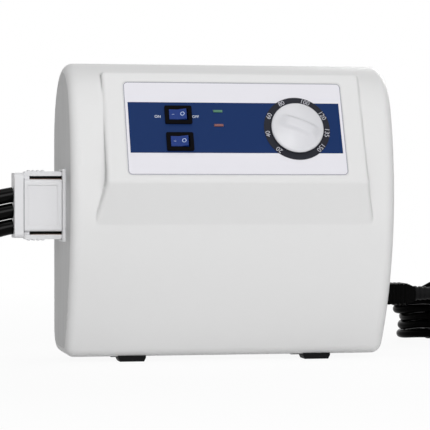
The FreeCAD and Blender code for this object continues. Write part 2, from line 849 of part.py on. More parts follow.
def regulator():
    """The air bleed regulator behind the dial: body with threaded bushing, nut and shaft."""
    x, y = "dial_across", "dial_up"
    can = rod("regulator_can", "regulator_radius", "regulator_depth", x, y, "-wall - regulator_depth")
    bush = rod("regulator_bush", "bushing_radius", "wall + nut_height + 0.6", x, y, "-wall - 0.1")
    port = rod("regulator_port", "2.4", "regulator_radius + 9", x, f"{y} - regulator_radius - 9",
               "-wall - regulator_depth + 6", "Y")
    bore = rod("regulator_bore", "shaft_radius + running_gap", "regulator_depth + 10", x, y,
               "-wall - regulator_depth + 12")
    node("regulator_body", on_facet(cut("regulator_body", fuse("regulator_solid", can, bush, port), bore)))
    shaft = rod("shaft_rod", "shaft_radius", "regulator_depth - 12.5 + wall + knob_height - 5",
                x, y, "-wall - regulator_depth + 12.5")
    node("regulator_shaft", on_facet(group("regulator_shaft", shaft)))
    nut = doc.addObject("Part::Prism", "regulator_nut_hex")
    nut.Polygon = 6
    bind(nut, "Circumradius", "nut_flats / 1.732")
    bind(nut, "Height", "nut_height")
    put(nut, x, y, "0")
    hole = rod("nut_hole", "bushing_radius + running_gap", "nut_height + 2", x, y, "-1")
    node("regulator_nut", on_facet(cut("regulator_nut", nut, hole)))


def rocker_switch(which, up):
    """A snap-in switch: bezelled housing with terminals, and a dished rocker on a cross pin."""
    x = "switch_across"
    bezel = rounded_plate(f"{which}_bezel", "bezel_width", "bezel_height", "bezel_thick", "1.2", x, up, "0")
    can = block(f"{which}_can", "bezel_width - bezel_rim - 0.2", "bezel_height - bezel_rim - 0.2",
                "switch_depth + 0.2", x, up, "-switch_depth")
    tabs = [
        block(f"{which}_tab_{k}", "0.8", "4.8", "8", f"{x} + {offset}", up, "-switch_depth - 7")
        for k, offset in enumerate(("(-6)", "0", "6"))
    ]
    well = block(f"{which}_well", "bezel_width - 2 * bezel_rim", "bezel_height - 2 * bezel_rim",
                 "bezel_thick + 9", x, up, "-7")
    pivots = rod(f"{which}_pivot_bore", "rocker_pin + running_gap", "bezel_height - 2 * bezel_rim + 1.6",
                 x, f"{up} - bezel_height / 2 + bezel_rim - 0.8", "-1.2", "Y")
    housing = cut(f"{which}_switch_housing", fuse(f"{which}_solid", bezel, can, *tabs), well, pivots)
    node(f"{which}_switch_housing", on_facet(housing))

    half = "(bezel_width / 2 - bezel_rim - rocker_gap)"
    outline = [
        (f"-{half}", "0.4"),
        (f"-{half} * 0.45", "-3.6"),
        (f"{half} * 0.45", "-3.6"),
        (half, "0.4"),
        (f"{half} - 0.5", "4.1"),
        ("0", "2.9"),
        (f"0.5 - {half}", "4.1"),
    ]
    deep = "(bezel_height - 2 * bezel_rim - 2 * rocker_gap)"
    form = prism(f"{which}_rocker_form", "XZ_Plane", outline, deep)
    pin = rod(f"{which}_rocker_pin", "rocker_pin", f"{deep} + 2 * rocker_gap + 1.2",
              "0", f"-({deep} / 2 + rocker_gap + 0.6)", "0", "Y")
    rocker = fuse(f"{which}_rocker_neutral", form, pin)
    # the left half is pressed in
    put(rocker, x, up, "-1.2", Rotation(Vector(0, -1, 0), 9))
    bind(rocker, "Placement.Rotation.Angle", "rocker_tilt * 1deg")
    node(f"{which}_rocker", on_facet(group(f"{which}_rocker", rocker)))


def indicators():
    for colour, up in (("green", "green_up"), ("red", "red_up")):
        window = block(f"{colour}_window", "lens_width", "lens_height", "wall + lens_proud + 0.2",
                       "lens_across", up, "-wall - 0.2")
        rim = block(f"{colour}_rim", "lens_width + 2.4", "lens_height + 2.4", "1.4",
                    "lens_across", up, "-wall - 1.4")
        node(f"{colour}_lens", on_facet(fuse(f"{colour}_lens", window, rim)))
    board = block("board_sheet", "panel_board_width", "panel_board_height", "board_thick", "0",
                  "label_up + 8", "-board_out - board_thick")
    lamps = [
        rod(f"lamp_{colour}", "1.5", "board_out - wall - 1.9", "lens_across", up, "-board_out - 0.1")
        for colour, up in (("green", "green_up"), ("red", "red_up"))
    ]
    chip = block("board_chip", "12", "9", "2.2", "14", "50", "-board_out - 0.1")
    node("indicator_board", on_facet(fuse("indicator_board", board, chip, *lamps)))


# ---- rear: hooks and filter ------------------------------------------------------------------


def bed_hooks():
    """Flat hooks that swing out on cross pins to hang the pump on a bed's foot board."""
    pins = []
    pivot_y = f"({REAR_Y} - 0.5 - hook_hub)"
    face, inner = f"({REAR_Y} - 0.5)", f"({REAR_Y} - 0.5 - hook_thick)"
    foot = "(hook_pivot_z - hook_reach)"
    profile = [
        (face, "hook_pivot_z + 1"),
        (face, foot),
        (f"{REAR_Y} - hook_lip", foot),
        (f"{REAR_Y} - hook_lip", f"{foot} + hook_thick * 0.8"),
        (inner, f"{foot} + hook_thick"),
        (inner, "hook_pivot_z + 1"),
    ]

    def outer_bend(edge):
        at = edge.CenterOfMass
        return along(edge, Vector(1, 0, 0)) and at.y > worth(inner) and at.z < worth(foot) + 0.01

    for hand, sign in (("left", "-"), ("right", "")):
        middle = f"{sign}hook_across"
        low_x = f"{middle} - hook_width / 2"
        blade = prism(f"hook_blade_{hand}", "YZ_Plane", profile, "hook_width")
        rounded(blade, f"hook_bend_{hand}", outer_bend, "hook_thick * 0.8")
        put(blade, middle)
        hub = rod(f"hook_hub_{hand}", "hook_hub", "hook_width", low_x, pivot_y, "hook_pivot_z", "X")
        web = box(f"hook_web_{hand}", "3", "hook_thick + 3", "hook_reach - 2",
                  f"{middle} - 1.5", f"{inner} - 3", f"{foot} + 1")
        finger = rod(f"finger_hollow_{hand}", "hook_width * 0.3", "2", middle, f"{face} - 1.2",
                     f"{foot} + hook_width * 0.55", "Y")
        bore = rod(f"hook_bore_{hand}", "hook_pin + running_gap", "hook_width + 2", f"{low_x} - 1",
                   pivot_y, "hook_pivot_z", "X")
        name = f"bed_hook_{hand}"
        node(name, cut(name, fuse(f"hook_solid_{hand}", hub, blade, web), finger, bore))
        pins.append(
            rod(f"hook_pin_{hand}", "hook_pin", "hook_width + 2 * pocket_gap",
                f"{low_x} - pocket_gap", pivot_y, "hook_pivot_z", "X")
        )
    node("hook_pins", group("hook_pins", *pins))


def air_filter():
    """A louvred cover that pulls off rearwards, with its foam in the frame behind it."""
    plate_side = "(filter_window + 2 * filter_rim)"
    frame_side = "(filter_window - 2 * filter_gap)"
    plate = rounded_plate("filter_face", plate_side, plate_side, "filter_plate", "3", "0", "0", "0")
    frame = block("filter_frame_out", frame_side, frame_side, "filter_frame", "0", "0", "-filter_frame")
    inside = block("filter_frame_in", f"{frame_side} - 3.2", f"{frame_side} - 3.2", "filter_frame + 0.1",
                   "0", "0", "-filter_frame - 0.1")
    louvres = [
        block(f"louvre_{k}", "filter_window - 8", "2.4", "10", "0", f"{k - 2.5} * 5.6", "-5")
        for k in range(6)
    ]
    cover = cut("filter_cover_flat", fuse("filter_solid", plate, frame), inside, *louvres)
    # drawn lying down, with its face up; stood up against the rear wall
    put(cover, "0", REAR_Y, "filter_z", Rotation(Vector(1, 0, 0), -90))
    node("filter_cover", group("filter_cover", cover))
    side = f"({frame_side} - 3.6)"
    foam = centred("filter_foam", side, "filter_frame - 1", side, "0",
                   f"{REAR_Y} - 0.5 - filter_frame / 2", "filter_z")
    node("filter_foam", foam)


# ---- hose socket, plug and hoses -------------------------------------------------------------

LEFT_X = "(-case_width / 2)"
SOCKET_FACE = "(-case_width / 2 - flange)"
HOSE_LEVELS = {"lower": "(hose_z - hose_pitch)", "middle": "hose_z", "upper": "(hose_z + hose_pitch)"}


def hose_socket():
    """The socket in the left wall: flange, well, three nipples and windows for the latches."""
    flange = box("socket_flange", "flange", "socket_width", "socket_height", SOCKET_FACE,
                 "socket_y - socket_width / 2", "socket_z - socket_height / 2")
    can = box("socket_can", "socket_depth + flange", "socket_width - 4", "socket_height - 10",
              SOCKET_FACE, "socket_y - socket_width / 2 + 2", "socket_z - socket_height / 2 + 5")
    well = box("socket_well", "cavity_depth + 1", "cavity_width", "cavity_height",
               f"{SOCKET_FACE} - 1", "socket_y - cavity_width / 2", "socket_z - cavity_height / 2")
    windows = [
        centred(f"latch_window_{side}", "flange + 1", "latch_width + 1", "latch_thick + latch_swing + 0.2",
                f"{SOCKET_FACE} + (flange - 1) / 2", "socket_y",
                f"socket_z {sign} (plug_height / 2 + latch_slot + (latch_thick + 0.2 - latch_swing) / 2)")
        for side, sign in (("upper", "+"), ("lower", "-"))
    ]
    body = cut("socket_body", fuse("socket_solid", flange, can), well, *windows)
    nipples = [
        rod(f"nipple_{level}", "nipple_radius", "cavity_depth + 4", f"{SOCKET_FACE} + 2", "socket_y", z, "X")
        for level, z in HOSE_LEVELS.items()
    ]
    bores = [
        rod(f"nipple_bore_{level}", "nipple_bore", "60", f"{SOCKET_FACE} - 5", "socket_y", z, "X")
        for level, z in HOSE_LEVELS.items()
    ]
    node("hose_socket", cut("hose_socket", fuse("socket_with_nipples", body, *nipples), *bores))
    manifold = box("manifold_block", "manifold_thick", "socket_width - 6", "socket_height - 12",
                   f"{SOCKET_FACE} + flange + socket_depth", "socket_y - socket_width / 2 + 3",
                   "socket_z - socket_height / 2 + 6")
    passages = [
        rod(f"manifold_bore_{level}", "nipple_bore", "6", f"{SOCKET_FACE} + flange + socket_depth - 1",
            "socket_y", z, "X")
        for level, z in HOSE_LEVELS.items()
    ]
    node("socket_manifold", cut("socket_manifold", manifold, *passages))


def hose_plug():
    """The plug on the hoses: body with a spigot, end plate, and a squeeze latch above and below."""
    body_x = f"({SOCKET_FACE} - 0.5 - plug_length)"
    body = rounded_plate("plug_block", "plug_height", "plug_width", "plug_length", "plug_round",
                         "0", "0", "0")
    put(body, body_x, "socket_y", "socket_z", AXES["X"])
    spigot = centred("plug_spigot", "cavity_depth - 0.5", "cavity_width - 2 * plug_gap",
                     "plug_height - 0.2", f"{SOCKET_FACE} + (cavity_depth - 1.5) / 2", "socket_y", "socket_z")
    bores = [
        rod(f"plug_bore_{level}", "nipple_radius + plug_gap", "60", body_x, "socket_y", z, "X")
        for level, z in HOSE_LEVELS.items()
    ]
    ledges = [
        centred(f"plug_ledge_{side}", "latch_ledge", "latch_width", "latch_slot + 1",
                f"{body_x} + latch_ledge / 2", "socket_y",
                f"socket_z {sign} (plug_height / 2 + latch_slot / 2 - 0.5 - running_gap)")
        for side, sign in (("upper", "+"), ("lower", "-"))
    ]
    guards = [
        box(f"plug_guard_{side}", "plug_length", "guard_thick", "latch_slot + 1.1", body_x,
            "socket_y + latch_width / 2 + guard_gap", z)
        for side, z in (("upper", "socket_z + plug_height / 2 - 0.5"),
                        ("lower", "socket_z - plug_height / 2 - latch_slot - 0.6"))
    ]
    panels = [
        centred(f"grip_panel_{side}", "plug_length - 7", "2 * panel_depth", "plug_height - 9",
                f"{body_x} + plug_length / 2", f"socket_y {sign} plug_width / 2", "socket_z")
        for side, sign in (("front", "-"), ("rear", "+"))
    ]
    solid = fuse("plug_solid", body, spigot, *ledges, *guards)
    node("hose_plug_body", cut("hose_plug_body", solid, *panels, *bores))
    plate = rounded_plate("end_plate_flat", "end_plate_height", "end_plate_width", "end_plate", "3",
                          "0", "0", "0")
    put(plate, f"{body_x} - end_plate", "socket_y", "socket_z", AXES["X"])
    holes = [
        rod(f"plate_hole_{level}", "nipple_radius + plug_gap", "end_plate + 2", f"{body_x} - end_plate - 1",
            "socket_y", z, "X")
        for level, z in HOSE_LEVELS.items()
    ]
    node("hose_plug_end_plate", cut("hose_plug_end_plate", plate, *holes))
    for side, sign in (("upper", ""), ("lower", "-")):
        level = f"{sign}(plug_height / 2 + latch_slot)"
        tip = f"{sign}(plug_height / 2 + latch_slot + latch_thick)"
        outer = f"{sign}(plug_height / 2 + latch_slot + latch_thick * 0.45)"
        ridge = f"{sign}(plug_height / 2 + latch_slot + latch_thick + latch_rib)"
        start, end = f"({body_x} + 0.4)", f"({SOCKET_FACE} + flange - 0.5)"
        outline = [
            (start, f"socket_z + {level}"),
            (end, f"socket_z + {level}"),
            (end, f"socket_z + {outer}"),
            (f"{SOCKET_FACE} - 1.5", f"socket_z + {tip}"),
        ]
        for k in range(4):
            foot = f"{start} + {16.5 - 3.6 * k}"
            outline += [
                (foot, f"socket_z + {tip}"),
                (f"{foot} - 0.8", f"socket_z + {ridge}"),
                (f"{foot} - 1.6", f"socket_z + {ridge}"),
                (f"{foot} - 2.4", f"socket_z + {tip}"),
            ]
        outline.append((f"{start} + 1.5", f"socket_z + {tip}"))
        outline.append((start, f"socket_z + {outer}"))
        lever = prism(f"latch_{side}_form", "XZ_Plane", outline, "latch_width",
                      "-(socket_y + latch_width / 2)")
        node(f"hose_latch_{side}", group(f"hose_latch_{side}", lever))


def tube_along(points, diameter):
    """A tube of straight runs joined by tangent arcs, as large as the runs allow."""
    corners = [Vector(*p) for p in points]
    edges, radii, at = [], [], corners[0]
    for k in range(1, len(corners) - 1):
        back = corners[k - 1] - corners[k]
        ahead = corners[k + 1] - corners[k]
        reach = 0.45 * min(back.Length, ahead.Length)
        turn = math.pi - back.getAngle(ahead)
        start = corners[k] + back.normalize() * reach
        end = corners[k] + ahead.normalize() * reach
        radius = reach / math.tan(turn / 2)
        inward = (back + ahead).normalize()
        middle = corners[k] + inward * (radius / math.cos(turn / 2) - radius)
        edges += [Part.LineSegment(at, start).toShape(), Part.Arc(start, middle, end).toShape()]
        radii.append(radius)
        at = end
    edges.append(Part.LineSegment(at, corners[-1]).toShape())
    path = Part.Wire(edges)
    ring = Part.Wire(Part.Circle(corners[0], corners[1] - corners[0], diameter / 2).toShape())
    tube = path.makePipeShell([ring], True, False)
    expected = math.pi * diameter**2 / 4 * path.Length
    if abs(tube.Volume / expected - 1) > 0.01:
        raise ValueError(f"tube volume {tube.Volume:.0f} is not {expected:.0f}")
    return tube, path.Length, radii


def cord(name, points, diameter):
    tube, length, radii = tube_along(points, diameter)
    print(f"{name}: {length:.0f} mm long, radii {min(radii):.0f} to {max(radii):.0f} mm")
    feature = doc.addObject("Part::Feature", name)
    feature.Shape = tube
    return node(name, feature)


def hoses():
    """Three hoses that droop from the plug, each into its own layer of one flat coil."""
    across = size("hose_diameter")
    ends = []
    outer_y = "(hose_coil_y - hose_coil_radius)"
    end_y = f"({outer_y} + hose_end_inset)"
    for k, (level, route) in enumerate(HOSE_ROUTES.items()):
        cord(f"hose_{level}", route, across)
        base = f"{k} * hose_pitch"
        middle = f"({base} + hose_pitch / 2)"
        ring_out = rod(f"coil_{level}_out", "hose_coil_radius + hose_diameter / 2 + coil_gap",
                       "hose_pitch", "hose_coil_x", "hose_coil_y", base)
        ring_in = rod(f"coil_{level}_in", "hose_coil_radius - 1.5 * hose_diameter - coil_gap",
                      "hose_pitch + 2", "hose_coil_x", "hose_coil_y", f"{base} - 1")
        ring = cut(f"coil_{level}_ring", ring_out, ring_in)
        stub = rod(f"coil_{level}_stub", "hose_diameter / 2", "hose_stub", "hose_coil_x", outer_y,
                   middle, "X")
        start_x = "hose_coil_x - hose_end_length / 2"
        tail = rod(f"coil_{level}_tail", "hose_diameter / 2", "2 * hose_diameter",
                   f"{start_x} + hose_end_length", end_y, middle, "X")
        node(f"hose_coil_{level}", fuse(f"hose_coil_{level}", ring, stub, tail))
        barb = rod(f"barb_{level}", "hose_diameter / 2 - 0.4", "hose_end_length", start_x, end_y,
                   middle, "X")
        bore = rod(f"barb_bore_{level}", "hose_diameter / 2 - 3", "hose_end_length - 8",
                   f"{start_x} - 1", end_y, middle, "X")
        collar = rod(f"barb_collar_{level}", "hose_diameter / 2", "5", f"{start_x} + 6", end_y,
                     middle, "X")
        solid = fuse(f"barb_solid_{level}", barb, collar)
        ends.append(cut(f"hose_end_{level}", solid, bore))
    node("hose_end_connectors", group("hose_end_connectors", *ends))


# ---- mains inlet, connector and lead ---------------------------------------------------------

RIGHT_X = "(case_width / 2)"
INLET_FACE = "(case_width / 2 + flange)"


def blades(name, length, start_x, height="3.6", thick="2"):
    """Three contact blades: live and neutral beside each other, earth above between them."""
    spots = (("live", "-7", "-2"), ("neutral", "7", "-2"), ("earth", "0", "2.4"))
    return [
        centred(f"{name}_{which}", length, thick, height, f"{start_x} + ({length}) / 2",
                f"inlet_y + {across}", f"inlet_z + {up}")
        for which, across, up in spots
    ]


def bevelled(name, width, height, bevel, length, start_x):
    """A block along X whose two upper corners are cut off, the keyed form of a mains connector."""
    half, low, high = f"({width}) / 2", f"inlet_z - ({height}) / 2", f"inlet_z + ({height}) / 2"
    outline = [
        (f"inlet_y - {half}", low),
        (f"inlet_y + {half}", low),
        (f"inlet_y + {half}", f"{high} - {bevel}"),
        (f"inlet_y + {half} - {bevel}", high),
        (f"inlet_y - {half} + {bevel}", high),
        (f"inlet_y - {half}", f"{high} - {bevel}"),
    ]
    return prism(name, "YZ_Plane", outline, length, start_x)


def mains_inlet():
    flange = centred("inlet_flange", "flange", "inlet_width", "inlet_height",
                     f"{RIGHT_X} + flange / 2", "inlet_y", "inlet_z")
    can = centred("inlet_can", "inlet_depth + flange", "inlet_body_width", "inlet_body_height",
                  f"{INLET_FACE} - (inlet_depth + flange) / 2", "inlet_y", "inlet_z")
    well = bevelled("inlet_well", "inlet_cavity_width", "inlet_cavity_height", "inlet_bevel",
                    "inlet_cavity_depth + 1", f"{INLET_FACE} - inlet_cavity_depth")
    slots = blades("inlet_slot", "40", f"{INLET_FACE} - 40")
    node("mains_inlet", cut("mains_inlet", fuse("inlet_solid", flange, can), well, *slots))
    reach = "inlet_depth + 6"
    pins = blades("inlet_pin", reach, f"{INLET_FACE} - 3 - ({reach})")
    node("inlet_pins", group("inlet_pins", *pins))


def mains_connector():
    """The lead's connector: nose in the inlet, ribbed grip that tapers to the strain relief."""
    nose = bevelled("connector_nose", "inlet_cavity_width - 2 * plug_gap",
                    "inlet_cavity_height - 2 * plug_gap", "inlet_bevel", "inlet_cavity_depth - 0.1",
                    f"{INLET_FACE} - inlet_cavity_depth + 0.5")
    grip_x = f"({INLET_FACE} + 0.3)"
    half, slim = "grip_height / 2", "(grip_height / 2 - grip_taper)"
    outline = [(grip_x, f"inlet_z - {half}")]
    outline += [
        (f"{grip_x} + grip_length * 0.8", f"inlet_z - {half}"),
        (f"{grip_x} + grip_length", f"inlet_z - {slim}"),
        (f"{grip_x} + grip_length", f"inlet_z + {slim}"),
        (f"{grip_x} + grip_length * 0.8", f"inlet_z + {half}"),
        (grip_x, f"inlet_z + {half}"),
    ]
    grip = prism("connector_grip", "XZ_Plane", outline, "grip_width", "-(inlet_y + grip_width / 2)")
    ribs = [
        centred(f"grip_rib_{k}", "1.7", "grip_width + 1.2", "grip_height + 1.2",
                f"{grip_x} + {5 + 3.6 * k}", "inlet_y", "inlet_z")
        for k in range(5)
    ]
    slots = blades("connector_slot", "inlet_cavity_depth", f"{INLET_FACE} - inlet_cavity_depth - 0.5",
                   "4.2", "2.6")
    node("mains_connector", cut("mains_connector", fuse("connector_solid", nose, grip, *ribs), *slots))
    end_x = f"({grip_x} + grip_length)"
    relief = cone("relief_cone", "5.4", "lead_diameter / 2 + 0.8", "relief_length", end_x, "inlet_y",
                  "inlet_z", "X")
    collars = [
        rod(f"relief_collar_{k}", f"{5.9 - 0.28 * k}", "1.8", f"{end_x} + {2 + 4 * k}", "inlet_y",
            "inlet_z", "X")
        for k in range(6)
    ]
    node("connector_strain_relief", fuse("connector_strain_relief", relief, *collars))


def mains_lead():
    """The lead, its coil of stacked turns, and the plug on its far end."""
    cord("mains_lead", LEAD_ROUTE, size("lead_diameter"))
    tall = "(lead_turns * lead_diameter + 0.4)"
    outside = rod("lead_coil_out", "lead_coil_radius + lead_diameter", tall, "lead_coil_x",
                  "lead_coil_y", "0")
    inside = rod("lead_coil_in", "lead_coil_radius - lead_diameter", f"{tall} + 2",
                 "lead_coil_x", "lead_coil_y", "-1")
    ring = cut("lead_coil_ring", outside, inside)
    entry = rod("lead_entry", "lead_diameter / 2", "lead_stub", "lead_coil_x - lead_coil_radius",
                "lead_coil_y - lead_stub", "(lead_turns - 0.5) * lead_diameter + 0.2", "Y")
    low = "(lead_diameter / 2 + 0.2)"
    tail_x = "(lead_coil_x + lead_coil_radius)"
    tail_y = "(lead_coil_y - lead_tail)"
    tail = rod("lead_tail_rod", "lead_diameter / 2", "lead_tail", tail_x, tail_y, low, "Y")
    node("lead_coil", fuse("lead_coil", ring, entry, tail))
    relief = cone("plug_relief_cone", "6", "lead_diameter / 2 + 0.8", "plug_relief", tail_x,
                  f"{tail_y} - plug_relief", "7", "Y")
    face_y = f"({tail_y} - plug_relief - mains_plug_length)"
    half = "mains_plug_width / 2"
    outline = [
        (f"{tail_x} - {half}", face_y),
        (f"{tail_x} + {half}", face_y),
        (f"{tail_x} + {half}", f"{face_y} + mains_plug_length * 0.6"),
        (f"{tail_x} + {half} * 0.62", f"{face_y} + mains_plug_length"),
        (f"{tail_x} - {half} * 0.62", f"{face_y} + mains_plug_length"),
        (f"{tail_x} - {half}", f"{face_y} + mains_plug_length * 0.6"),
    ]
    body = prism("plug_case", "XY_Plane", outline, "mains_plug_height", "0")
    rounded(body, "plug_case_sides", lambda e: along(e, Vector(0, 0, 1)), "2")
    node("mains_plug", fuse("mains_plug", relief, body))
    flat = [
        box(f"plug_blade_{side}", "1.5", "17", "6.3", f"{tail_x} + {offset}", f"{face_y} - 17", "5")
        for side, offset in (("live", "5.6"), ("neutral", "(-7.1)"))
    ]
    earth = rod("plug_earth", "2.4", "19", tail_x, f"{face_y} - 19", "15.5", "Y")
    node("plug_blades", group("plug_blades", *flat, earth))


# ---- inside the case -------------------------------------------------------------------------


TRAY_LENGTH = "(case_width - tray_inset - tray_gap - board_length - board_inset)"
TRAY_X = "(tray_inset - case_width / 2)"
PUMP_X = f"({TRAY_X} + {TRAY_LENGTH} / 2)"
PUMP_Y = "(front_y + (tray_front + case_depth - wall) / 2)"
PIVOT_X = f"({TRAY_X} + {TRAY_LENGTH} - 2 * mount_radius)"
VALVE_X = f"({PIVOT_X} - valve_back)"
DISTRIBUTOR_X = "(distributor_inset - case_width / 2)"
BOARD_X = "(case_width / 2 - board_inset - board_length / 2)"


def tray():
    """The compressor's tray, with two arm posts, on four rubber mounts."""
    floor = "(case_base + wall)"
    plate = block("tray_plate", TRAY_LENGTH, "tray_width", "tray_thick", PUMP_X, PUMP_Y, "tray_z")
    posts_up = [
        rod(f"tray_post_{k}", "7", "arm_z - arm_height / 2 - tray_z - 0.5", PIVOT_X,
            f"{PUMP_Y} {sign} arm_spread", "tray_z")
        for k, sign in enumerate("-+")
    ]
    node("compressor_tray", fuse("compressor_tray", plate, *posts_up))
    across = f"({TRAY_LENGTH} / 2 - 2 * mount_radius)"
    deep = f"({REAR_Y} - heel_radius - mount_radius - {PUMP_Y})"
    mounts = []
    for a, sx in enumerate("-+"):
        for b, sy in enumerate("-+"):
            name, x, y = f"mount_{a}_{b}", f"{PUMP_X} {sx} {across}", f"{PUMP_Y} {sy} {deep}"
            grommet = rod(name, "mount_radius", f"tray_z - {floor}", x, y, floor)
            waist = f"(tray_z - {floor}) / 2"
            ring = rod(f"{name}_ring", "mount_radius + 1", "2", x, y, f"{floor} + {waist} - 1")
            slim = rod(f"{name}_core", "mount_radius - 1.5", "4", x, y, f"{floor} + {waist} - 2")
            mounts.append(cut(f"{name}_waisted", grommet, cut(f"{name}_groove", ring, slim)))
    node("rubber_mounts", group("rubber_mounts", *mounts))


def electromagnet():
    """A laminated U core on a stand, open towards the arms' magnets, with its coil between the limbs."""
    core_x = f"({TRAY_X} + 14)"
    deep = "(2 * arm_spread - arm_thick - 2 * magnet_gap - 10)"
    yoke = centred("core_yoke", "10", deep, "26", f"{core_x} - 5", PUMP_Y, "arm_z")
    limbs = [
        centred(f"core_limb_{k}", "26", "5", "26", f"{core_x} + 8", f"{PUMP_Y} {sign} ({deep} / 2 - 2.5)",
                "arm_z")
        for k, sign in enumerate("-+")
    ]
    stand = block("core_stand", "20", deep, "arm_z - 12 - tray_z - tray_thick", core_x, PUMP_Y,
                  "tray_z + tray_thick")
    node("electromagnet_core", fuse("electromagnet_core", yoke, *limbs, stand))
    coil = block("electromagnet_coil", "18", f"{deep} - 10.6", "34", f"{core_x} + 10", PUMP_Y,
                 "arm_z - 12")
    node("electromagnet_coil", coil)


def magnet_arms():
    """Two arms that swing on upright pins, each with a magnet at its tip."""
    pins = []
    for side, sign in (("front", "-"), ("rear", "+")):
        arm_y = f"({PUMP_Y} {sign} arm_spread)"
        inward = "+" if sign == "-" else "-"
        arm = centred(f"arm_bar_{side}", "arm_length", "arm_thick", "arm_height",
                      f"{PIVOT_X} - arm_length / 2", arm_y, "arm_z")
        hub = rod(f"arm_hub_{side}", "arm_pin + 3", "arm_height", PIVOT_X, arm_y, "arm_z - arm_height / 2")
        magnet = centred(f"magnet_{side}", "16", "5", "arm_height - 2", f"{PIVOT_X} - arm_length + 8",
                         f"{arm_y} {inward} (arm_thick / 2 + 2.4)", "arm_z")
        bore = rod(f"arm_bore_{side}", "arm_pin + running_gap", "arm_height + 2", PIVOT_X, arm_y,
                   "arm_z - arm_height / 2 - 1")
        solid = fuse(f"arm_solid_{side}", arm, hub, magnet)
        node(f"magnet_arm_{side}", cut(f"magnet_arm_{side}", solid, bore))
        pins.append(rod(f"arm_pin_{side}", "arm_pin", "arm_height + 6", PIVOT_X, arm_y,
                        "arm_z - arm_height / 2 - 0.5"))
    node("arm_pins", group("arm_pins", *pins))


def bellows(side, length, start_y):
    """A moulded rubber bellows: a corrugated body turned about its own axis."""
    folds, rim, waist = 4, "bellows_radius", "(bellows_radius - 3)"
    outline = [("0", "0"), (waist, "0")]
    for k in range(folds):
        outline.append((rim, f"{length} * {(k + 0.5) / folds}"))
        outline.append((waist, f"{length} * {(k + 1) / folds}"))
    outline.append(("0", length))
    body = turned(f"bellows_{side}_turn", outline)
    put(body, VALVE_X, start_y, "arm_z", AXES["Y"])
    node(f"bellows_{side}", group(f"bellows_{side}", body))


def compressor():
    """A linear compressor: two magnet arms swing beside an electromagnet and work two bellows."""
    tray()
    electromagnet()
    magnet_arms()
    head = centred("valve_head", "valve_length", "valve_width", "valve_height", VALVE_X, PUMP_Y, "arm_z")
    leg = block("valve_leg", "valve_length - 10", "valve_width - 2",
                "arm_z - valve_height / 2 + 1 - tray_z - tray_thick", VALVE_X, PUMP_Y,
                "tray_z + tray_thick")
    ports = [
        rod(f"valve_{which}", "barb_radius", "outlet_length", f"{VALVE_X} {sign} outlet_spread", PUMP_Y,
            "arm_z + valve_height / 2 - 1")
        for which, sign in (("vent", "-"), ("outlet", "+"))
    ]
    node("valve_block", fuse("valve_block", head, leg, *ports))
    room = "(arm_spread - arm_thick / 2 - valve_width / 2)"
    bellows("front", room, f"{PUMP_Y} - valve_width / 2 - {room}")
    bellows("rear", room, f"{PUMP_Y} + valve_width / 2")


def distributor():
    """A slow motor turns a port disc that feeds the two hose circuits in turn."""
    x, y, z = DISTRIBUTOR_X, "distributor_y", "distributor_z"
    thick, side = "distributor_thick", "distributor_side"
    plate = centred("distributor_block", side, f"{side} - 2", thick, x, y, f"{z} + {thick} / 2")
    manifold_x = f"({SOCKET_FACE} + flange + socket_depth + manifold_thick)"
    link = box("distributor_link", f"{x} - {side} / 2 + 1 - {manifold_x}", "16", thick, manifold_x,
               "socket_y - 8", z)
    floor = f"{z} + {thick} - rotor_thick - 1"
    well = rod("rotor_well", "rotor_radius + 0.5", "rotor_thick + 3", x, y, floor)
    bore = rod("rotor_bore", "2 + running_gap", f"{thick} + 7", x, y, f"{z} - 1")
    node("distributor_body", cut("distributor_body", fuse("distributor_solid", plate, link), well, bore))
    disc = rod("rotor_disc", "rotor_radius", "rotor_thick - 0.6", x, y, f"{floor} + 0.3")
    shaft = rod("rotor_shaft", "2", f"{thick} + 3", x, y, f"{z} - 6")
    ports = [
        rod(f"rotor_port_{k}", "2.2", "rotor_thick + 4", f"{x} {sign} rotor_radius * 0.56", y, f"{floor} - 1")
        for k, sign in enumerate("+-")
    ]
    node("distributor_rotor", cut("distributor_rotor", fuse("rotor_solid", disc, shaft), *ports))
    cap = centred("cap_plate", side, f"{side} - 2", "3", x, y, f"{z} + {thick} + 1.5")
    inlet = rod("cap_inlet", "barb_radius", "10", x, f"{y} + 12", f"{z} + {thick} + 2")
    node("distributor_cap", fuse("distributor_cap", cap, inlet))
    can = rod("motor_can", "motor_radius", "motor_height", x, y, f"{z} - motor_height")
    socket = rod("motor_socket", "2 + running_gap", "8", x, y, f"{z} - 7")
    node("distributor_motor", cut("distributor_motor", can, socket))


def power_board():
    deck = "(case_base + wall + board_stand)"
    sheet_part = block("power_sheet", "board_length", "board_width", "board_thick", BOARD_X, "board_y", deck)
    legs = [
        rod(f"board_leg_{a}_{b}", "2.6", "board_stand + 0.2", f"{BOARD_X} {sx} (board_length / 2 - 5)",
            f"board_y {sy} 15", "case_base + wall")
        for a, sx in enumerate("-+")
        for b, sy in enumerate("-+")
    ]
    top = f"({deck} + board_thick - 0.1)"
    relay = block("board_relay", "18", "15", "15", f"{BOARD_X} - 18", "board_y - 10", top)
    choke = rod("board_choke", "8", "14", f"{BOARD_X} + 10", "board_y + 12", top)
    fuse_clip = block("board_fuse", "22", "6", "7", f"{BOARD_X} + 8", "board_y - 20", top)
    capacitor = block("board_capacitor", "18", "9", "14", f"{BOARD_X} - 16", "board_y + 14", top)
    node("power_board", fuse("power_board", sheet_part, *legs, relay, choke, fuse_clip, capacitor))


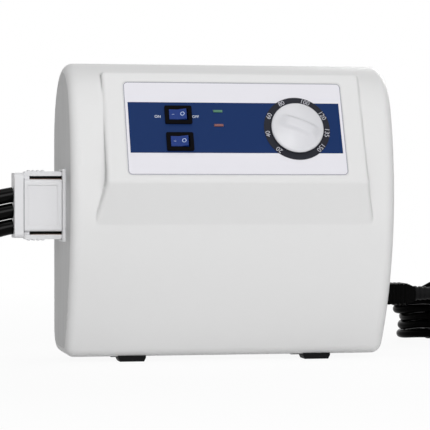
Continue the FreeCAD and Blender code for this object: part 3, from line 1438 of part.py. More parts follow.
def air_tubes():
    """The silicone tube that arches from the valve block's outlet over to the distributor's inlet."""
    start = Vector(worth(f"{VALVE_X} + outlet_spread"), worth(PUMP_Y),
                   worth("arm_z + valve_height / 2 + outlet_length - 1"))
    end = Vector(worth(DISTRIBUTOR_X), worth("distributor_y + 12"),
                 worth("distributor_z + distributor_thick + 12"))
    bow = size("tube_bow")
    feed = [start]
    for across, rise in ((0, -0.13), (0.17, 0.67), (0.55, 1.0), (0.7, 0.93), (1, 0.53)):
        at = start + (end - start) * across
        feed.append(Vector(at.x, at.y, end.z + rise * bow))
    tube, _, _ = tube_along(feed + [end], size("tube_diameter"))
    feature = doc.addObject("Part::Feature", "feed_tube")
    feature.Shape = tube
    node("feed_tube", feature)


front_cover()
rear_cover()
case_screws()
feet()
control_label()
dial_scale()
dial_knob()
regulator()
rocker_switch("power", "power_up")
rocker_switch("mode", "mode_up")
indicators()
bed_hooks()
air_filter()
hose_socket()
hose_plug()
hoses()
mains_inlet()
mains_connector()
mains_lead()
compressor()
distributor()
power_board()
air_tubes()
doc.recompute()

broken = [o.Name for o in doc.Objects if "Invalid" in o.State or "Error" in o.State]
for sub_part in NODES:
    if sub_part.Shape.isNull() or not sub_part.Shape.isValid():
        broken.append(sub_part.Label)
if broken:
    raise RuntimeError("these objects failed: " + ", ".join(broken))

os.makedirs("parts", exist_ok=True)
for sub_part in NODES:
    sub_part.Shape.exportStep(os.path.join("parts", sub_part.Label + ".step"))
print(len(NODES), "sub-parts written")
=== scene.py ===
"""Looks of an alternating pressure mattress pump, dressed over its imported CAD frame, in metres."""

import json
from math import cos, hypot, pi, radians, sin, tan

import bmesh
import bpy
from mathutils import Matrix, Vector


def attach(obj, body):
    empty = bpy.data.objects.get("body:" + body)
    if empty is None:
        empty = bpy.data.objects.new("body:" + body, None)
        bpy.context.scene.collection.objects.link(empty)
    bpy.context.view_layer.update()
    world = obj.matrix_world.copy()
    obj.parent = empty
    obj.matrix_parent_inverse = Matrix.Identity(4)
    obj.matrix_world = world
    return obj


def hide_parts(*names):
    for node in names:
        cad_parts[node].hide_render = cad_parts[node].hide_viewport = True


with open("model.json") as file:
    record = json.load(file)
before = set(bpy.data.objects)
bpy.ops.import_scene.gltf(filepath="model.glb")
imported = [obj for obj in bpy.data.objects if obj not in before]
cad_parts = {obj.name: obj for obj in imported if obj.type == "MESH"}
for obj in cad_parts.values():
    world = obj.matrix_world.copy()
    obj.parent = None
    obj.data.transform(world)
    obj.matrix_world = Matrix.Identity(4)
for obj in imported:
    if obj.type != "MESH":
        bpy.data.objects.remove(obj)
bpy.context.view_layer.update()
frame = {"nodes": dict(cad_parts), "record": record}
scene = bpy.context.scene

# ---- camera ----------------------------------------------------------------------------------
# At about half the pump's height, a little to the left of it, so the left side just shows.

eye = bpy.data.cameras.new("camera")
eye.sensor_width = 36
eye.lens = 177.9
camera = bpy.data.objects.new("camera", eye)
camera.location = (-0.3293, -1.642, 0.133)
camera.rotation_euler = (pi / 2 - radians(0.645), 0, -radians(11.10))
scene.collection.objects.link(camera)
scene.camera = camera


# ---- hoses and lead --------------------------------------------------------------------------

def cord_piece(name, points, diameter):
    """A cord as one smooth NURBS line through its control points, with a round section."""
    line = bpy.data.curves.new(name, "CURVE")
    line.dimensions = "3D"
    line.bevel_depth = 1.0
    line.bevel_resolution = 5
    line.resolution_u = 6
    line.use_fill_caps = True
    spline = line.splines.new("NURBS")
    spline.points.add(len(points) - 1)
    for knot, place in zip(spline.points, points):
        knot.co = (*place, 1)
        knot.radius = diameter / 2
    spline.order_u = 3
    spline.use_endpoint_u = True
    piece = bpy.data.objects.new(name, line)
    scene.collection.objects.link(piece)
    return piece


STEP = radians(22.5)  # sixteen control points to a turn
SPREAD = 1 / cos(STEP / 2)  # how far outside a round turn its control points lie


def turn_point(centre, radius, angle, height):
    """A control point of a turn laid clockwise from the near side of its centre."""
    reach = radius * SPREAD
    return (centre[0] - reach * sin(angle), centre[1] - reach * cos(angle), height)


HOSE_CENTRE = (-0.4084, 0.070)
HOSE_DIAMETER = 0.012
HOSE_ROUTES = {
    "lower": [
        (-0.1665, -0.0020, 0.1057), (-0.1725, -0.0020, 0.1047), (-0.1836, -0.0020, 0.1015),
        (-0.1947, -0.0020, 0.0969), (-0.2057, -0.0020, 0.0909), (-0.2163, -0.0020, 0.0836),
        (-0.2266, -0.0020, 0.0751), (-0.2372, -0.0020, 0.0653), (-0.2488, -0.0020, 0.0534),
        (-0.2616, -0.0020, 0.0409), (-0.2763, -0.0020, 0.0292), (-0.2925, -0.0020, 0.0192),
        (-0.3088, -0.0020, 0.0124), (-0.3260, -0.0020, 0.0083), (-0.3426, -0.0020, 0.0065),
        (-0.3561, -0.0020, 0.00615), (-0.3664, -0.0020, 0.00615),
    ],
    "middle": [
        (-0.1665, -0.0020, 0.1180), (-0.1754, -0.0020, 0.1165), (-0.1876, -0.0020, 0.1128),
        (-0.1999, -0.0020, 0.1077), (-0.2120, -0.0020, 0.1011), (-0.2236, -0.0020, 0.0932),
        (-0.2345, -0.0020, 0.0842), (-0.2456, -0.0020, 0.0739), (-0.2573, -0.0020, 0.0619),
        (-0.2695, -0.0020, 0.0499), (-0.2832, -0.0020, 0.0390), (-0.2980, -0.0020, 0.0299),
        (-0.3125, -0.0020, 0.0238), (-0.3281, -0.0020, 0.0204), (-0.3435, -0.0020, 0.0188),
        (-0.3561, -0.0020, 0.01845), (-0.3664, -0.0020, 0.01845),
    ],
    "upper": [
        (-0.1665, -0.0020, 0.1303), (-0.1783, -0.0020, 0.1283), (-0.1916, -0.0020, 0.1242),
        (-0.2051, -0.0020, 0.1186), (-0.2183, -0.0020, 0.1114), (-0.2308, -0.0020, 0.1028),
        (-0.2424, -0.0020, 0.0932), (-0.2540, -0.0020, 0.0825), (-0.2658, -0.0020, 0.0704),
        (-0.2775, -0.0020, 0.0590), (-0.2901, -0.0020, 0.0489), (-0.3035, -0.0020, 0.0406),
        (-0.3162, -0.0020, 0.0353), (-0.3301, -0.0020, 0.0325), (-0.3443, -0.0020, 0.0311),
        (-0.3561, -0.0020, 0.03075), (-0.3664, -0.0020, 0.03075),
    ],
}
# Radii of a layer's outer turn, its inner turn, and its last quarter, which leaves room for the
# connector it ends in.
HOSE_OUTER, HOSE_INNER, HOSE_LAST = 0.072, 0.060, 0.0458
HOSE_POINTS, HOSE_LAST_POINTS = 28, 4  # control points up to that last quarter, and in it
CROSS_START, CROSS_SPAN = radians(290), radians(55)  # where the outer turn moves inward
HOSE_END = (-0.3954, 0.0242)
hoses = []
for level, route in HOSE_ROUTES.items():
    height = route[-1][2]
    points = list(route)
    for count in range(HOSE_POINTS):
        angle = STEP * (count + 0.5)
        inward = min(max((angle - CROSS_START) / CROSS_SPAN, 0), 1)
        radius = HOSE_OUTER + (HOSE_INNER - HOSE_OUTER) * inward
        points.append(turn_point(HOSE_CENTRE, radius, angle, height))
    last_centre = (HOSE_CENTRE[0] + HOSE_INNER - HOSE_LAST, HOSE_CENTRE[1])
    for count in range(HOSE_POINTS, HOSE_POINTS + HOSE_LAST_POINTS):
        points.append(turn_point(last_centre, HOSE_LAST, STEP * (count + 0.5), height))
    points.append((*HOSE_END, height))
    hose = cord_piece(f"{level}_hose", points, HOSE_DIAMETER)
    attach(hose, "hose_plug")
    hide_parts(f"hose_{level}", f"hose_coil_{level}")
    hoses.append(hose)

LEAD_CENTRE = (0.2330, 0.1635)
LEAD_DIAMETER = 0.007
LEAD_ROUTE = [
    (0.1828, 0.0110, 0.0505), (0.2000, 0.0110, 0.0505), (0.2242, 0.0077, 0.0513),
    (0.2489, 0.0073, 0.0532), (0.2636, 0.0121, 0.0554), (0.2750, 0.0218, 0.0578),
    (0.2818, 0.0352, 0.0602), (0.2830, 0.0502, 0.0622), (0.2784, 0.0634, 0.0638),
    (0.2687, 0.0744, 0.0648), (0.2557, 0.0809, 0.0652), (0.2430, 0.0830, 0.0650),
    (0.2309, 0.0841, 0.0640), (0.2179, 0.0867, 0.0610), (0.2063, 0.0924, 0.0566),
    (0.1974, 0.1007, 0.0508), (0.1918, 0.1111, 0.0454), (0.1895, 0.1224, 0.0422),
    (0.1890, 0.1334, 0.0422), (0.1885, 0.1475, 0.0422),
]
LEAD_END = [(0.2768, 0.1470, 0.0037), (0.2770, 0.1305, 0.0037)]
LEAD_RADIUS, LEAD_TURN_POINTS = 0.042, 88
LEAD_TOP, LEAD_FALL = 0.0422, 0.0385  # height of the first turn, and how far the last lies under it
LEAD_SLOW, LEAD_QUICK = 0.0036, 0.0016  # how far a slow and a quick swing push loose turns outward
LEAD_WAVE = 0.0014  # half the height of the waves that all turns share
LEAD_LEAN = (-0.0028, 0.0004)  # which way and how far the coil leans
points = list(LEAD_ROUTE)
for count in range(LEAD_TURN_POINTS):
    angle = pi / 2 + STEP * (count + 0.5)
    wound = (count + 0.5) / LEAD_TURN_POINTS
    # The coil starts and ends on its circle, and leans: its upper turns lie further to the left.
    settle = min(1, 5 * wound, 5 * (1 - wound))
    lean = (1 - 2 * wound) * min(1, 5 * wound, 10 * (1 - wound))
    # The tie at the far side gathers the turns; they lie loosest on the left.
    loose = settle * (1 - 0.85 * max(0, -cos(angle)) ** 3) * (0.65 + 0.35 * sin(angle))
    uneven = LEAD_SLOW * sin(0.83 * angle + 0.6) + LEAD_QUICK * sin(2.37 * angle)
    radius = LEAD_RADIUS + loose * uneven
    # All turns rise and fall together, four times a turn, so each stays on top of the next.
    wave = LEAD_WAVE * (1 - cos(4 * (angle - pi / 2))) * min(1, 5 * (1 - wound))
    centre = (LEAD_CENTRE[0] + LEAD_LEAN[0] * lean, LEAD_CENTRE[1] + LEAD_LEAN[1] * lean)
    points.append(turn_point(centre, radius, angle, LEAD_TOP - LEAD_FALL * wound + wave))
points += LEAD_END
lead = cord_piece("lead", points, LEAD_DIAMETER)
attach(lead, "mains_connector")
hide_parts("mains_lead", "lead_coil")


# ---- meshes ----------------------------------------------------------------------------------

def solid(name, mesh_source, body):
    """A finished mesh piece at the origin, riding on a body."""
    mesh = bpy.data.meshes.new(name)
    mesh_source.normal_update()
    mesh_source.to_mesh(mesh)
    mesh_source.free()
    piece = bpy.data.objects.new(name, mesh)
    scene.collection.objects.link(piece)
    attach(piece, body)
    return piece


def tie(name, centre, inner, outer, angle, height, width, thick, body):
    """A strap closed round all the turns of a coil, thin where it lies on the floor.

    inner and outer are the radii it spans, angle its place on the turn, height that of the coil.
    """
    middle, half = (inner + outer) / 2, (outer - inner) / 2 + thick
    corner = half * 0.8
    steps = 6  # to each rounded corner
    lowest, lowest_inside = 0.00002, 0.00012  # heights at which the strap lies flat on the floor
    outline = []
    for side, (across, up) in enumerate([(1, 1), (-1, 1), (-1, -1), (1, -1)]):
        for step in range(steps + 1):
            sweep = pi / 2 * (side + step / steps)
            outline.append(Vector((
                across * (half - corner) + corner * cos(sweep),
                height / 2 + up * (height / 2 + thick - corner) + corner * sin(sweep))))
    along = Vector((-cos(angle), sin(angle), 0))
    outward = Vector((-sin(angle), -cos(angle), 0))
    origin = Vector((*centre, 0)) + outward * middle
    shape = bmesh.new()
    rings = []
    for place in outline:
        pull = (place - Vector((0, height / 2))).normalized() * thick
        inner_place = place - pull
        ring = []
        for (across, up), shift, low in (
                (place, -1, lowest), (place, 1, lowest),
                (inner_place, 1, lowest_inside), (inner_place, -1, lowest_inside)):
            ring.append(shape.verts.new(
                origin + outward * across + along * (shift * width / 2)
                + Vector((0, 0, max(up, low)))))
        rings.append(ring)
    for ring, following in zip(rings, rings[1:] + rings[:1]):
        for corner_count in range(4):
            beside = (corner_count + 1) % 4
            shape.faces.new((ring[corner_count], following[corner_count],
                             following[beside], ring[beside]))
    bmesh.ops.recalc_face_normals(shape, faces=shape.faces)
    return solid(name, shape, body)


hose_tie = tie("hose_tie", HOSE_CENTRE, inner=0.0538, outer=0.0782, angle=pi, height=0.0370,
               width=0.016, thick=0.0009, body="hose_plug")
lead_tie = tie("lead_tie", LEAD_CENTRE, inner=0.0372, outer=0.0468, angle=pi, height=0.0444,
               width=0.010, thick=0.0008, body="mains_connector")

# ---- dial knob -------------------------------------------------------------------------------
# The label leans back 22 degrees: on it, x runs across, y runs up, and z comes out of it.

LABEL_TURN = radians(68)
LABEL = Matrix.Translation((0, -0.0635, 0.1400)) @ Matrix.Rotation(LABEL_TURN, 4, "X")
DIAL = (48.0, 44.2)  # the dial's axis on the label, in millimetres
POINTER = radians(112)  # clockwise from straight up, at rest


def turned_mesh(profile, height, steps=96):
    """A closed turned form on the dial's axis, in millimetres; height gives its front face."""
    shape = bmesh.new()
    rings = []
    for radius, low in profile:
        ring = []
        for step in range(steps if radius else 1):
            sweep = 2 * pi * step / steps
            across, up = radius * sin(sweep), radius * cos(sweep)
            place = Vector((DIAL[0] + across, DIAL[1] + up, height(across, up, low))) / 1000
            ring.append(shape.verts.new(LABEL @ place))
        rings.append(ring)
    for ring, following in zip(rings, rings[1:]):
        for step in range(steps):
            beside = (step + 1) % steps
            corners = [ring[step % len(ring)], ring[beside % len(ring)],
                       following[beside % len(following)], following[step % len(following)]]
            shape.faces.new(list(dict.fromkeys(corners)))
    bmesh.ops.recalc_face_normals(shape, faces=shape.faces)
    for face in shape.faces:
        face.smooth = True
    return shape


FACE_RADIUS, FACE_FOOT = 19.6, 3.4  # edge of the knob's front, and its height over the label
DOME, BAR = 4.2, 2.4  # how far the dome stands over that edge, and the grip bar over the dome
BAR_SIDES, BAR_ENDS = (2.6, 6.2), (9.0, 18.0)  # where the bar starts to fall, and where it is gone
BAR_SHIFT = 1.0  # of the bar's middle, towards the pointer
FACE_RINGS = 24


def smooth_step(value, start, end):
    """0 up to start, 1 from end, with a smooth rise between them."""
    part = min(max((value - start) / (end - start), 0), 1)
    return part * part * (3 - 2 * part)


def knob_face(across, up, low):
    """The knob's domed front, with a soft grip bar that dies out towards its rim."""
    if low < FACE_FOOT:
        return low
    along = across * sin(POINTER) + up * cos(POINTER)
    beside = across * cos(POINTER) - up * sin(POINTER)
    reach = min(hypot(across, up) / FACE_RADIUS, 1)
    bar = ((1 - smooth_step(abs(beside), *BAR_SIDES))
           * (1 - smooth_step(abs(along - BAR_SHIFT), *BAR_ENDS)))
    return low + DOME * (1 - reach ** 2) + BAR * bar


rim = [(0, 1.0), (19.8, 1.0), (20.3, 1.2), (20.5, 1.6), (20.5, 2.3), (20.35, 2.8)]
front = [(FACE_RADIUS * (1 - step / FACE_RINGS), FACE_FOOT) for step in range(FACE_RINGS)]
dial_cap = solid("dial_cap", turned_mesh(rim + front + [(0, FACE_FOOT)], knob_face), "pressure_dial")
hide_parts("dial_knob")
dial_shaft = solid("dial_shaft", turned_mesh(
    [(0, -26.0), (2.6, -26.0), (3.0, -25.6), (3.0, 0.9), (0, 0.9)], lambda across, up, low: low, 32),
    "pressure_dial")
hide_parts("regulator_shaft")

# ---- hose plug's fittings --------------------------------------------------------------------


def block(shape, low, high):
    """A closed block from its lowest to its highest corner, in millimetres."""
    corners = [shape.verts.new(Vector((x, y, z)) / 1000)
               for x in (low[0], high[0]) for y in (low[1], high[1]) for z in (low[2], high[2])]
    for face in ((0, 1, 3, 2), (4, 6, 7, 5), (0, 4, 5, 1), (2, 3, 7, 6), (0, 2, 6, 4), (1, 5, 7, 3)):
        shape.faces.new([corners[corner] for corner in face])


# Thin grey strips between the plug's body and its end plate are painted shade in the seam.
shape = bmesh.new()
block(shape, (-159.5, -13.25, 101), (-158.8, -12.9, 143))
block(shape, (-159.5, 8.9, 101), (-158.8, 9.25, 143))
plug_seam_shade = solid("plug_seam_shade", shape, "hose_plug")

# Behind each latch stands a black plate of painted shade that darkens its slot, and a pinkish-brown
# strip lies along the slot's lower side.
shape = bmesh.new()
block(shape, (-158.0, 5.3, 142.05), (-128.0, 5.8, 145.6))
block(shape, (-158.0, 5.3, 98.4), (-128.0, 5.8, 101.95))
slot_shade_plates = solid("latch_slot_shade_plates", shape, "hose_plug")
shape = bmesh.new()
block(shape, (-157.0, -8.6, 142.05), (-129.0, 4.6, 142.4))
upper_slot_strip = solid("upper_latch_slot_strip", shape, "hose_plug")
shape = bmesh.new()
block(shape, (-153.0, -8.6, 99.45), (-129.0, 4.6, 99.75))
lower_slot_strip = solid("lower_latch_slot_strip", shape, "lower_latch")

# ---- printing --------------------------------------------------------------------------------


CAPITALS = 0.72  # height of a capital letter, as a share of the type's size
INK, INK_HALF = 0.03, 0.02  # printing's middle over its surface, and half its thickness, in mm


def printed(name, words, body):
    """Words printed flat, as one thin mesh: each is (text, height in mm, place it stands on)."""
    joined = bmesh.new()
    for text, height, place in words:
        letters = bpy.data.curves.new(name, "FONT")
        letters.body = text
        letters.size = height / 1000 / CAPITALS
        letters.align_x = "CENTER"
        letters.align_y = "CENTER"
        letters.extrude = INK_HALF / 1000
        holder = bpy.data.objects.new(name, letters)
        scene.collection.objects.link(holder)
        flat = bpy.data.meshes.new_from_object(
            holder.evaluated_get(bpy.context.evaluated_depsgraph_get()))
        bpy.data.objects.remove(holder)
        flat.transform(place)
        joined.from_mesh(flat)
        bpy.data.meshes.remove(flat)
    bmesh.ops.remove_doubles(joined, verts=joined.verts, dist=1e-7)
    return solid(name, joined, body)


def on_label(across, up, out, turn=0.0):
    """A place on the label, in millimetres, turned clockwise."""
    return (LABEL @ Matrix.Translation((across / 1000, up / 1000, out / 1000))
            @ Matrix.Rotation(-turn, 4, "Z"))


switch_words = printed("switch_words", [
    ("ON", 2.2, on_label(-60.2, 53.7, INK)),
    ("OFF", 2.2, on_label(-30.8, 53.7, INK)),
], "root")

# Each dial number with its place in degrees clockwise from straight up.
NUMBERS = {20: -139, 40: -101, 60: -64, 80: -27, 100: 20, 120: 62, 135: 98, 150: 132}
NUMBER_RADIUS, NUMBER_HEIGHT, SCALE_THICK = 23.5, 3.7, 0.4
numbers = []
for number, degrees in NUMBERS.items():
    turn = radians(degrees)
    across, up = DIAL[0] + NUMBER_RADIUS * sin(turn), DIAL[1] + NUMBER_RADIUS * cos(turn)
    numbers.append((str(number), NUMBER_HEIGHT, on_label(across, up, SCALE_THICK + INK, turn)))
dial_numbers = printed("dial_numbers", numbers, "root")


ROCKER_TILT, ROCKER_DISH = radians(9), radians(10.3)  # of a whole rocker, and of each half's face
ROCKER_ACROSS, ROCKER_AXIS = -0.0443, -0.0012  # its axis across the label and out of it, in metres
ROCKER_MIDDLE = 2.9  # from that axis to the middle of the dished face, in millimetres


def on_rocker(up, across, turn=0.0):
    """A place on a rocker's dished face, which tilts with its pressed left half."""
    slope = ROCKER_DISH * (1 if across > 0 else -1)
    lift = ROCKER_MIDDLE + abs(across) * tan(ROCKER_DISH) + INK
    return (LABEL @ Matrix.Translation((ROCKER_ACROSS, up / 1000, ROCKER_AXIS))
            @ Matrix.Rotation(ROCKER_TILT, 4, (0, -1, 0))
            @ Matrix.Translation((across / 1000, 0, lift / 1000))
            @ Matrix.Rotation(slope, 4, (0, -1, 0)) @ Matrix.Rotation(turn, 4, "Z"))


rocker_marks = [
    printed(f"{which}_rocker_marks", [
        ("O", 3.2, on_rocker(up, 3.5)),
        ("I", 2.0, on_rocker(up, -3.5, pi / 2)),
    ], f"{which}_rocker")
    for which, up in (("power", 54.9), ("mode", 32.7))]


# ---- finishes --------------------------------------------------------------------------------

def linear(code):
    """An sRGB hex colour as the linear one that a shader takes."""
    parts = [int(code[start:start + 2], 16) / 255 for start in (0, 2, 4)]
    return [*(c / 12.92 if c <= 0.04045 else ((c + 0.055) / 1.055) ** 2.4 for c in parts), 1.0]


def add(tree, kind, inputs=None, **settings):
    """Add a node with its settings; each input takes a number, a colour or another node's output."""
    node = tree.nodes.new(kind)
    for name, value in settings.items():
        setattr(node, name, value)
    for socket, value in (inputs or {}).items():
        if isinstance(value, bpy.types.NodeSocket):
            tree.links.new(value, node.inputs[socket])
        else:
            node.inputs[socket].default_value = value
    return node


def finish(name, colour, roughness, grain=1.0, depth=0.01, edge=0.0, stretch=(1, 1, 1),
           **shader_inputs):
    """A surface with a fine relief.

    grain and depth are the relief's size in millimetres, edge the radius that corners shade to,
    and a stretch below 1 draws the relief out along that axis.
    """
    made = bpy.data.materials.new(name)
    made.use_nodes = True
    tree = made.node_tree
    tree.nodes.clear()
    place = add(tree, "ShaderNodeTexCoord").outputs["Object"]
    laid = add(tree, "ShaderNodeMapping", {"Vector": place, "Scale": stretch}).outputs[0]
    relief = add(tree, "ShaderNodeTexNoise", {
        "Vector": laid, "Scale": 1000 / grain, "Detail": 2.0, "Roughness": 0.5})
    normal = {}
    if edge:
        rounded = add(tree, "ShaderNodeBevel", {"Radius": edge / 1000}, samples=4)
        normal = {"Normal": rounded.outputs[0]}
    bump = add(tree, "ShaderNodeBump", {
        "Height": relief.outputs[0], "Distance": depth / 1000, "Strength": 1.0, **normal})
    shader = add(tree, "ShaderNodeBsdfPrincipled", {
        "Base Color": linear(colour), "Roughness": roughness, "Normal": bump.outputs[0],
        **{socket.replace("_", " "): value for socket, value in shader_inputs.items()}})
    add(tree, "ShaderNodeOutputMaterial", {"Surface": shader.outputs[0]})
    return made, tree, shader, bump, place


COLOUR_1, COLOUR_2, MIXED = 6, 7, 2  # a Mix node's two colour inputs and its colour output

# Satin-gloss ABS: an even off-white with a soft, faintly rippled shine. Its two side walls get painted
# shade: a greyer colour, broken by faint upright streaks about 3 mm apart.
CASE_WHITE, WALL_SHADE_GREY = "E4E4E4", "C2C2C2"
case_abs, tree, shader, bump, place = finish(
    "satin_gloss_moulded_abs", CASE_WHITE, 0.42, grain=9, depth=0.012, edge=2.5, IOR=1.53,
    Specular_IOR_Level=0.1)
facing = add(tree, "ShaderNodeSeparateXYZ", {
    0: add(tree, "ShaderNodeNewGeometry").outputs["True Normal"]})
sideways = add(tree, "ShaderNodeMath", {0: facing.outputs[0]}, operation="ABSOLUTE").outputs[0]
wall = add(tree, "ShaderNodeMapRange", {"Value": sideways, "From Min": 0.975, "From Max": 0.998})
drawn = add(tree, "ShaderNodeMapping", {"Vector": place, "Scale": (1, 1, 0.04)}).outputs[0]
upright_streaks = add(tree, "ShaderNodeTexNoise", {
    "Vector": drawn, "Scale": 300.0, "Detail": 3.0, "Roughness": 0.6})
shade = add(tree, "ShaderNodeMapRange", {
    "Value": upright_streaks.outputs[0], "From Min": 0.35, "From Max": 0.7, "To Min": 0.75})
painted_wall_shade = add(tree, "ShaderNodeMath", {0: wall.outputs[0], 1: shade.outputs[0]}, operation="MULTIPLY")
# Painted shade: walls facing along x turn greyer, in upright streaks.
wall_colour_with_shade = add(tree, "ShaderNodeMix", {
    0: painted_wall_shade.outputs[0], COLOUR_1: linear(CASE_WHITE), COLOUR_2: linear(WALL_SHADE_GREY)}, data_type="RGBA")
tree.links.new(wall_colour_with_shade.outputs[MIXED], shader.inputs["Base Color"])
streak_bump = add(tree, "ShaderNodeBump", {
    "Height": painted_wall_shade.outputs[0], "Distance": 0.00001, "Strength": 1.0, "Normal": bump.outputs[0]})
tree.links.new(streak_bump.outputs[0], shader.inputs["Normal"])

# Satin ABS of the hose plug, its socket, the hooks and the filter cover: a shade cooler and
# glossier than the case, with softened corners.
satin_abs = finish("satin_moulded_abs", "DDDDDF", 0.36, grain=1.2, depth=0.006, edge=0.35, IOR=1.53,
                   Specular_IOR_Level=0.3)[0]

# The dial's own ABS: white with a tight bright edge where its rim turns over.
knob_abs = finish("knob_moulded_abs", "DCDCE0", 0.2, grain=2.0, depth=0.004, edge=0.25,
                  IOR=1.53, Specular_IOR_Level=0.16)[0]

# Polycarbonate film printed on its back: an even satin sheet, lilac white, with a navy band
# across it and a fine grey line round its rounded edge.
FILM_SHIFT = (0, -0.15022, -0.11132)  # takes the film's middle to zero, once it is turned flat
BAND_HALF_WIDTH, BAND_UP, BAND_HALF_HEIGHT = 0.0828, 0.0005, 0.0210
LINE_STRAIGHT = (0.0820, 0.0350, 1.0)  # half lengths of the line's straight sides
LINE_CORNER, LINE_HALF_WIDTH = 0.00305, 0.00025
FILM_WHITE, BAND_NAVY, LINE_GREY = "E6E5EB", "102C5C", "8E8E9A"
label_film, tree, shader, _, place = finish(
    "printed_polycarbonate_film", FILM_WHITE, 0.42, grain=0.8, depth=0.003, IOR=1.58,
    Specular_IOR_Level=0.1)
flat = add(tree, "ShaderNodeMapping", {
    "Vector": place, "Rotation": (-LABEL_TURN, 0, 0), "Location": FILM_SHIFT}).outputs[0]
axes = add(tree, "ShaderNodeSeparateXYZ", {0: flat})
across_band = add(tree, "ShaderNodeMath", {0: axes.outputs[0], 1: 0.0, 2: BAND_HALF_WIDTH},
                  operation="COMPARE")
up_band = add(tree, "ShaderNodeMath", {0: axes.outputs[1], 1: BAND_UP, 2: BAND_HALF_HEIGHT},
              operation="COMPARE")
band = add(tree, "ShaderNodeMath", {0: across_band.outputs[0], 1: up_band.outputs[0]},
           operation="MULTIPLY")
sides = add(tree, "ShaderNodeVectorMath", {0: flat}, operation="ABSOLUTE").outputs[0]
past = add(tree, "ShaderNodeVectorMath", {0: sides, 1: LINE_STRAIGHT}, operation="SUBTRACT").outputs[0]
past = add(tree, "ShaderNodeVectorMath", {0: past, 1: (0.0, 0.0, 0.0)}, operation="MAXIMUM").outputs[0]
round_corner = add(tree, "ShaderNodeVectorMath", {0: past}, operation="LENGTH").outputs["Value"]
line = add(tree, "ShaderNodeMath", {0: round_corner, 1: LINE_CORNER, 2: LINE_HALF_WIDTH},
           operation="COMPARE")
with_band = add(tree, "ShaderNodeMix", {
    0: band.outputs[0], COLOUR_1: linear(FILM_WHITE), COLOUR_2: linear(BAND_NAVY)}, data_type="RGBA")
with_line = add(tree, "ShaderNodeMix", {
    0: line.outputs[0], COLOUR_1: with_band.outputs[MIXED], COLOUR_2: linear(LINE_GREY)},
    data_type="RGBA")
tree.links.new(with_line.outputs[MIXED], shader.inputs["Base Color"])

# Screen-printed polycarbonate: an even charcoal disc with a dull shine.
scale_film = finish("printed_charcoal_film", "1F2028", 0.45, grain=0.8, depth=0.003, IOR=1.58,
                    Specular_IOR_Level=0.12)[0]

# Printing ink: flat and even, light grey numbers, white words and the rockers' pale blue marks.
number_ink = finish("light_grey_ink", "B8B8BF", 0.5, grain=0.5, depth=0.001)[0]
word_ink = finish("white_ink", "D8DEEA", 0.5, grain=0.5, depth=0.001)[0]
mark_ink = finish("pale_blue_ink", "B4C6E6", 0.5, grain=0.5, depth=0.001)[0]

# Glass-filled nylon, polished: a wet black bezel round each switch.
switch_nylon = finish("polished_black_nylon", "060508", 0.16, grain=1.5, depth=0.003, edge=0.3,
                      IOR=1.53, Specular_IOR_Level=0.05)[0]

# Clear blue polycarbonate, with a faint painted glow from inside that stands in for light going into it.
rocker_polycarbonate = finish(
    "clear_blue_polycarbonate", "103074", 0.14, grain=2.0, depth=0.002, edge=0.25, IOR=1.58,
    Specular_IOR_Level=0.25, Emission_Color=linear("1B55D8"), Emission_Strength=0.02)[0]

# Cast lens plastic: clear and coloured right through.
green_lens = finish("clear_green_lens", "5A8F74", 0.15, grain=1.0, depth=0.004, IOR=1.49,
                    Transmission_Weight=0.3, Emission_Color=linear("4FA67A"), Emission_Strength=0.02)[0]
red_lens = finish("clear_red_lens", "96605F", 0.15, grain=1.0, depth=0.004, IOR=1.49,
                  Transmission_Weight=0.3, Emission_Color=linear("B0605A"), Emission_Strength=0.02)[0]

# Moulded rubber: matt black with a dusty, uneven surface.
rubber = finish("moulded_black_rubber", "0A0A0B", 0.62, grain=1.6, depth=0.02, edge=0.3,
                Specular_IOR_Level=0.1)[0]

# Moulded PVC of the mains connector, its plug and the black fittings inside: satin, with a
# spark-eroded grain.
grip_pvc = finish("moulded_black_pvc", "030303", 0.34, grain=0.9, depth=0.012, edge=0.3, IOR=1.53,
                  Specular_IOR_Level=0.02)[0]

# Extruded PVC hose: black and glossy, with long thin highlights.
hose_pvc = finish("extruded_glossy_pvc_hose", "030303", 0.14, grain=6, depth=0.02, IOR=1.53,
                  Specular_IOR_Level=0.05)[0]

# Extruded PVC sheath: black, a little duller and finer than the hose.
sheath_pvc = finish("extruded_pvc_sheath", "020202", 0.2, grain=2.5, depth=0.012, IOR=1.53,
                    Specular_IOR_Level=0.01)[0]

# Woven nylon strap: matt black, ribbed by its weft. A Wave node's bands lie pi / 10 / scale apart,
# here 1.6 mm, which is coarser than real threads, so that they show.
WAVE_SCALE = 200.0
strap_weave, tree, shader, bump, place = finish(
    "woven_nylon_strap", "1C1C1F", 0.75, grain=0.8, depth=0.02, Specular_IOR_Level=0.15)
threads = add(tree, "ShaderNodeTexWave", {"Vector": place, "Scale": WAVE_SCALE, "Distortion": 0.6},
              bands_direction="X")
ribs = add(tree, "ShaderNodeBump", {
    "Height": threads.outputs[1], "Distance": 0.00015, "Strength": 0.8, "Normal": bump.outputs[0]})
tree.links.new(ribs.outputs[0], shader.inputs["Normal"])

# Zinc-plated steel: bright, slightly blue and finely mottled.
zinc_plate = finish("zinc_plated_steel", "C4C8CE", 0.3, grain=1.2, depth=0.004, Metallic=1.0)[0]

# Turned brass: warm and bright, its finest tool marks showing only as a slight unevenness.
turned_brass = finish("turned_brass", "C8A558", 0.26, grain=1.0, depth=0.003, Metallic=1.0)[0]

# Rolled steel sheet and laminations: grey, with upright streaks 0.5 mm wide.
rolled_steel = finish("rolled_steel", "9A9CA0", 0.36, grain=0.5, depth=0.006, stretch=(1, 1, 0.05),
                      Metallic=1.0)[0]

# Die-cast aluminium: pale, dull and lightly pitted.
cast_aluminium = finish("die_cast_aluminium", "B9BBBE", 0.45, grain=1.8, depth=0.02, Metallic=1.0)[0]

